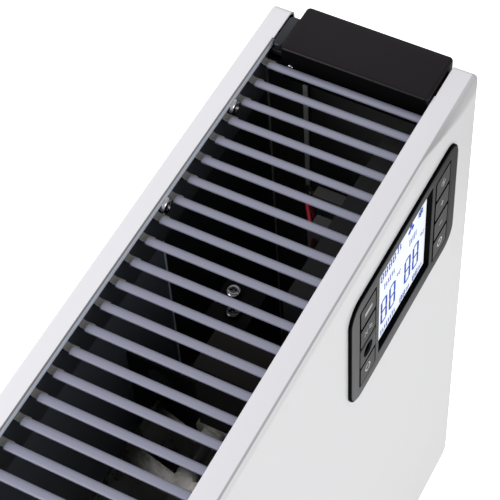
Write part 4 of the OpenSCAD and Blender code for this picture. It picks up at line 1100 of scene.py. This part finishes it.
def right_shoe():
    """The right foot: a long shoe, a waisted riser up to the shells, and the wells of its screws."""
    low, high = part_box("right_foot")
    x0, x1, half, floor = low.x, high.x, high.y, low.z
    x, tall, waist = (x0 + x1) / 2, 13 * MM, half - 24 * MM
    shoe = soft_box("right_shoe", (x0, -half, floor), (x1, half, floor + tall), DEEP, 2.2 * MM, 0)
    upper = floor + 6 * MM
    round_edges(shoe, lambda a, b: (both(a, b, DEEP, -half) or both(a, b, DEEP, half)) and a.z > upper
                and b.z > upper, 5.5 * MM, 6)
    riser = block("riser", (x0, -waist, floor + 8 * MM), (x1, waist, SHELL_LOW))
    round_edges(riser, lambda a, b: runs(a, b, UP), 2.2 * MM, 4)
    cut(riser, *(rod("hollow", (x, side * waist, SHELL_LOW), SHELL_LOW - floor - tall, 60 * MM, ACROSS, 96)
                 for side in (-1, 1)))
    seat = soft_box("seat", (x0, FRONT_HIGH.y + 0.5 * MM, SHELL_LOW - 1 * MM),
                    (x1, REAR_LOW.y - 0.5 * MM, SHELL_LOW + 1 * MM), UP, 2 * MM, 0.2 * MM)
    foot = fuse(shoe, riser, seat)
    for y in (-36 * MM, 36 * MM):
        cut(foot, rod("well", (x, y, floor + 14 * MM), 4.95 * MM, 34 * MM, UP, 32),
            rod("shank_hole", (x, y, SHELL_LOW), 1.95 * MM, 30 * MM, UP, 20))
    return foot, copy_of(foot, "left_shoe", shift=(-(x0 + x1), 0, 0))


class HEATER_OT_feet(bpy.types.Operator):
    """Models the two moulded feet and their pads"""
    bl_idname = "heater.feet"
    bl_label = "Feet"

    def execute(self, context):
        coats = paints(context)
        right, left = right_shoe()
        dress(right, coats["foot_plastic"], replaces=("right_foot",))
        dress(left, coats["foot_plastic"], replaces=("left_foot",))
        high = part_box("foot_pads")[1]
        radius, thick = 8 * MM, 3 * MM
        pads = []
        for side_x in (-1, 1):
            for side_y in (-1, 1):
                place = (side_x * (high.x - radius), side_y * (high.y - radius), thick / 2)
                pad = rod("pad", place, radius, thick)
                round_edges(pad, lambda a, b: both(a, b, UP, 0), 0.8 * MM, 3)
                round_edges(pad, lambda a, b: both(a, b, UP, thick), 0.3 * MM, 2)
                pads.append(pad)
        dress(join("rubber_pads", pads), coats["rubber"], replaces=("foot_pads",))
        return {"FINISHED"}


# Leads, with their routes in millimetres

RED_ROUTE = ((229.5, 22, 57), (228.5, 22, 90), (224.5, 21, 130), (226.5, 16, 180), (238.5, 12, 230),
             (248.5, 11, 280), (249.5, 10, 305), (243.0, 10, 325), (225.5, 1, 350))
BLACK_ROUTE = ((240.5, 22, 57), (239.5, 23, 90), (234.5, 24, 130), (236.5, 22, 180), (246.5, 18, 230),
               (252.5, 17, 285), (251.5, 15, 315), (242.5, 9, 338))


def lead(name, points, radius):
    """A round insulated lead along its route."""
    curve = bpy.data.curves.new(name, "CURVE")
    curve.dimensions = "3D"
    curve.bevel_depth = radius
    curve.bevel_resolution = 4
    curve.resolution_u = 8
    curve.use_fill_caps = True
    spline = curve.splines.new("BEZIER")
    spline.bezier_points.add(len(points) - 1)
    for knot, place in zip(spline.bezier_points, points):
        knot.co = Vector(place) * MM
        knot.handle_left_type = knot.handle_right_type = "AUTO"
    piece = bpy.data.objects.new(name, curve)
    bpy.context.scene.collection.objects.link(piece)
    take(piece)
    bpy.ops.object.convert(target="MESH")
    return bpy.context.object


class HEATER_OT_leads(bpy.types.Operator):
    """Models the two internal leads from the terminals to the controls"""
    bl_idname = "heater.leads"
    bl_label = "Leads"

    def execute(self, context):
        coats = paints(context)
        low, high = (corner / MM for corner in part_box("lead_connector"))
        red_end = (low.x + 4, high.y - 6.4, (low.z + high.z) / 2)
        black_end = (high.x - 3, high.y + 1.6, low.z + 3)
        red = lead("red_cover", (*RED_ROUTE, red_end), 0.9 * MM)
        dress(red, coats["red_cover"], replaces=("red_lead",))
        black = lead("black_cover", (*BLACK_ROUTE, black_end), 0.9 * MM)
        dress(black, coats["black_cover"], replaces=("black_lead",))
        return {"FINISHED"}


# Inner pieces that keep their shape, with the finish and the slot of each

NODE_FINISHES = {
    "bottom_plate": ("zinc_sheet", "zinc_steel"),
    "right_end_frame": ("end_sheet", "zinc_steel"),
    "left_end_frame": ("end_sheet", "zinc_steel"),
    "foot_screws": ("chrome_screw", "screw_steel"),
    "control_board": ("board_green", "board_green"),
    "key_switches": ("dark_plastic", "switch_grey"),
    "control_housing": ("housing_plastic", "housing_grey"),
    "control_partition": ("partition_paint", "housing_grey"),
    "power_board": ("board_green", "board_green"),
    "relays": ("relay_blue", "relay_blue"),
    "lead_connector": ("plug_plastic", "ivory_plastic"),
    "room_sensor": ("dark_plastic", "black_plastic"),
    "terminal_block": ("ivory_plastic", "ivory_plastic"),
    "cord_gland": ("foot_plastic", "black_plastic"),
    "tip_switch": ("ivory_plastic", "ivory_plastic"),
    "rear_heat_shield": ("shield_sheet", "zinc_steel"),
    "front_heat_shield": ("dark_sheet", "zinc_steel"),
    "heating_element": ("element_aluminium", "element_alu"),
    "element_brackets": ("dark_sheet", "zinc_steel"),
    "element_bushes": ("ceramic", "ceramic"),
    "thermal_cutout": ("dark_plastic", "black_plastic"),
    "fan_scroll": ("zinc_sheet", "zinc_steel"),
    "fan_rotor": ("rotor_aluminium", "rotor_alu"),
    "fan_motor": ("motor_steel", "motor_metal"),
    "fan_bearing": ("bronze", "bronze"),
}


class HEATER_OT_inside(bpy.types.Operator):
    """Gives every inner piece that keeps its solid shape its own finish"""
    bl_idname = "heater.inside"
    bl_label = "Inner pieces"

    def execute(self, context):
        coats = paints(context)
        for name, (material, slot) in NODE_FINISHES.items():
            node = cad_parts[name]
            coat(node, coats[material])
        return {"FINISHED"}


# Stage

def lamp(name, place, aim, power, size, colour=(1, 1, 1)):
    let_go()
    bpy.ops.object.light_add(type="AREA", location=place)
    light = bpy.context.object
    light.name = name
    light.data.energy = power
    light.data.color = colour
    light.data.shape = "SQUARE"
    light.data.size = size
    light.rotation_euler = (Vector(aim) - Vector(place)).to_track_quat("-Z", "Y").to_euler()


def in_view(tree):
    """1 on a ray from the camera or through glass, 0 on one that lights the object."""
    rays = add_node(tree, "LightPath")
    return maths(tree, "MAXIMUM", rays["Is Camera Ray"], rays["Is Transmission Ray"])


class HEATER_OT_stage(bpy.types.Operator):
    """Sets the floor, the even light, the lamps and the camera"""
    bl_idname = "heater.stage"
    bl_label = "Stage"

    def execute(self, context):
        stage = context.scene.heater_stage
        let_go()
        bpy.ops.mesh.primitive_plane_add(size=14, location=(0, 0, 0))
        ground = context.object
        ground.name = "studio_floor"
        material, tree, shader = blank("floor_white")
        fill(tree, shader, {"Base Color": (*stage.floor, 1), "Roughness": 0.8})
        bright = add_node(tree, "Emission", {"Strength": maths(tree, "MULTIPLY", in_view(tree), 0.9)})[0]
        lit = add_node(tree, "AddShader", {0: shader.outputs[0], 1: bright})[0]
        fade = ramp(tree, place_parts(tree)[0], 0.46, 0.60, 1.0, 0.55)
        mirrored = add_node(tree, "Emission", {"Strength": fade})[0]
        glossy = add_node(tree, "LightPath")["Is Glossy Ray"]
        choice = add_node(tree, "MixShader", {0: glossy, 1: lit, 2: mirrored})[0]
        fill(tree, tree.nodes["Material Output"], {"Surface": choice})
        coat(ground, material)
        world = bpy.data.worlds.new("studio")
        context.scene.world = world
        world.use_nodes = True
        tree = world.node_tree
        strength = maths(tree, "ADD", maths(tree, "MULTIPLY", in_view(tree), 1 - stage.sky), stage.sky)
        fill(tree, tree.nodes["Background"], {"Color": (1, 1, 1, 1), "Strength": strength})
        lamp("main_lamp", (-1.0, 0.9, 1.5), (0.1, 0, 0.3), stage.main_power, 1.0, (0.93, 0.91, 1.0))
        lamp("front_lamp", (-0.1, -1.8, 0.7), (0.1, 0, 0.2), stage.front_power, 1.0)
        lamp("side_lamp", (1.4, 0.5, 1.3), (0.1, 0, 0.3), stage.side_power, 0.8)
        let_go()
        eye, aim = Vector(stage.eye), Vector(stage.target)
        bpy.ops.object.camera_add(location=eye)
        camera = context.object
        camera.name = "photo_camera"
        camera.rotation_mode = "QUATERNION"
        look = (aim - eye).to_track_quat("-Z", "Y")
        camera.rotation_quaternion = look @ Matrix.Rotation(stage.roll, 3, "Z").to_quaternion()
        camera.data.lens = stage.focal
        camera.data.sensor_width = 36
        camera.data.clip_start, camera.data.clip_end = 0.01, 50
        context.scene.camera = camera
        context.scene.view_settings.view_transform = "Standard"
        return {"FINISHED"}


OPERATORS = (HEATER_OT_stage, HEATER_OT_shells, HEATER_OT_grille, HEATER_OT_screws, HEATER_OT_caps,
             HEATER_OT_bezel, HEATER_OT_keys, HEATER_OT_display, HEATER_OT_feet, HEATER_OT_leads,
             HEATER_OT_inside)
SETTINGS = {"heater_shells": HeaterShells, "heater_grille": HeaterGrille, "heater_caps": HeaterCaps,
            "heater_controls": HeaterControls, "heater_stage": HeaterStage}


class HEATER_PT_panel(bpy.types.Panel):
    """Lists the heater's settings and its pieces"""
    bl_idname = "HEATER_PT_panel"
    bl_label = "Convector heater"
    bl_space_type = "VIEW_3D"
    bl_region_type = "UI"
    bl_category = "Heater"

    def draw(self, context):
        for operator in OPERATORS:
            self.layout.operator(operator.bl_idname)
        for name, kind in SETTINGS.items():
            box = self.layout.box()
            box.label(text=kind.__doc__)
            for key in kind.__annotations__:
                box.prop(getattr(context.scene, name), key)


def register():
    for kind in (*SETTINGS.values(), *OPERATORS, HEATER_PT_panel):
        bpy.utils.register_class(kind)
    for name, kind in SETTINGS.items():
        setattr(bpy.types.Scene, name, bpy.props.PointerProperty(type=kind))


def unregister():
    for name in SETTINGS:
        delattr(bpy.types.Scene, name)
    for kind in reversed((*SETTINGS.values(), *OPERATORS, HEATER_PT_panel)):
        bpy.utils.unregister_class(kind)


def main():
    register()
    bpy.ops.heater.stage()
    bpy.ops.heater.shells()
    bpy.ops.heater.grille()
    bpy.ops.heater.screws()
    bpy.ops.heater.caps()
    bpy.ops.heater.bezel()
    bpy.ops.heater.keys()
    bpy.ops.heater.display()
    bpy.ops.heater.feet()
    bpy.ops.heater.leads()
    bpy.ops.heater.inside()


if __name__ == "__main__":
    main()
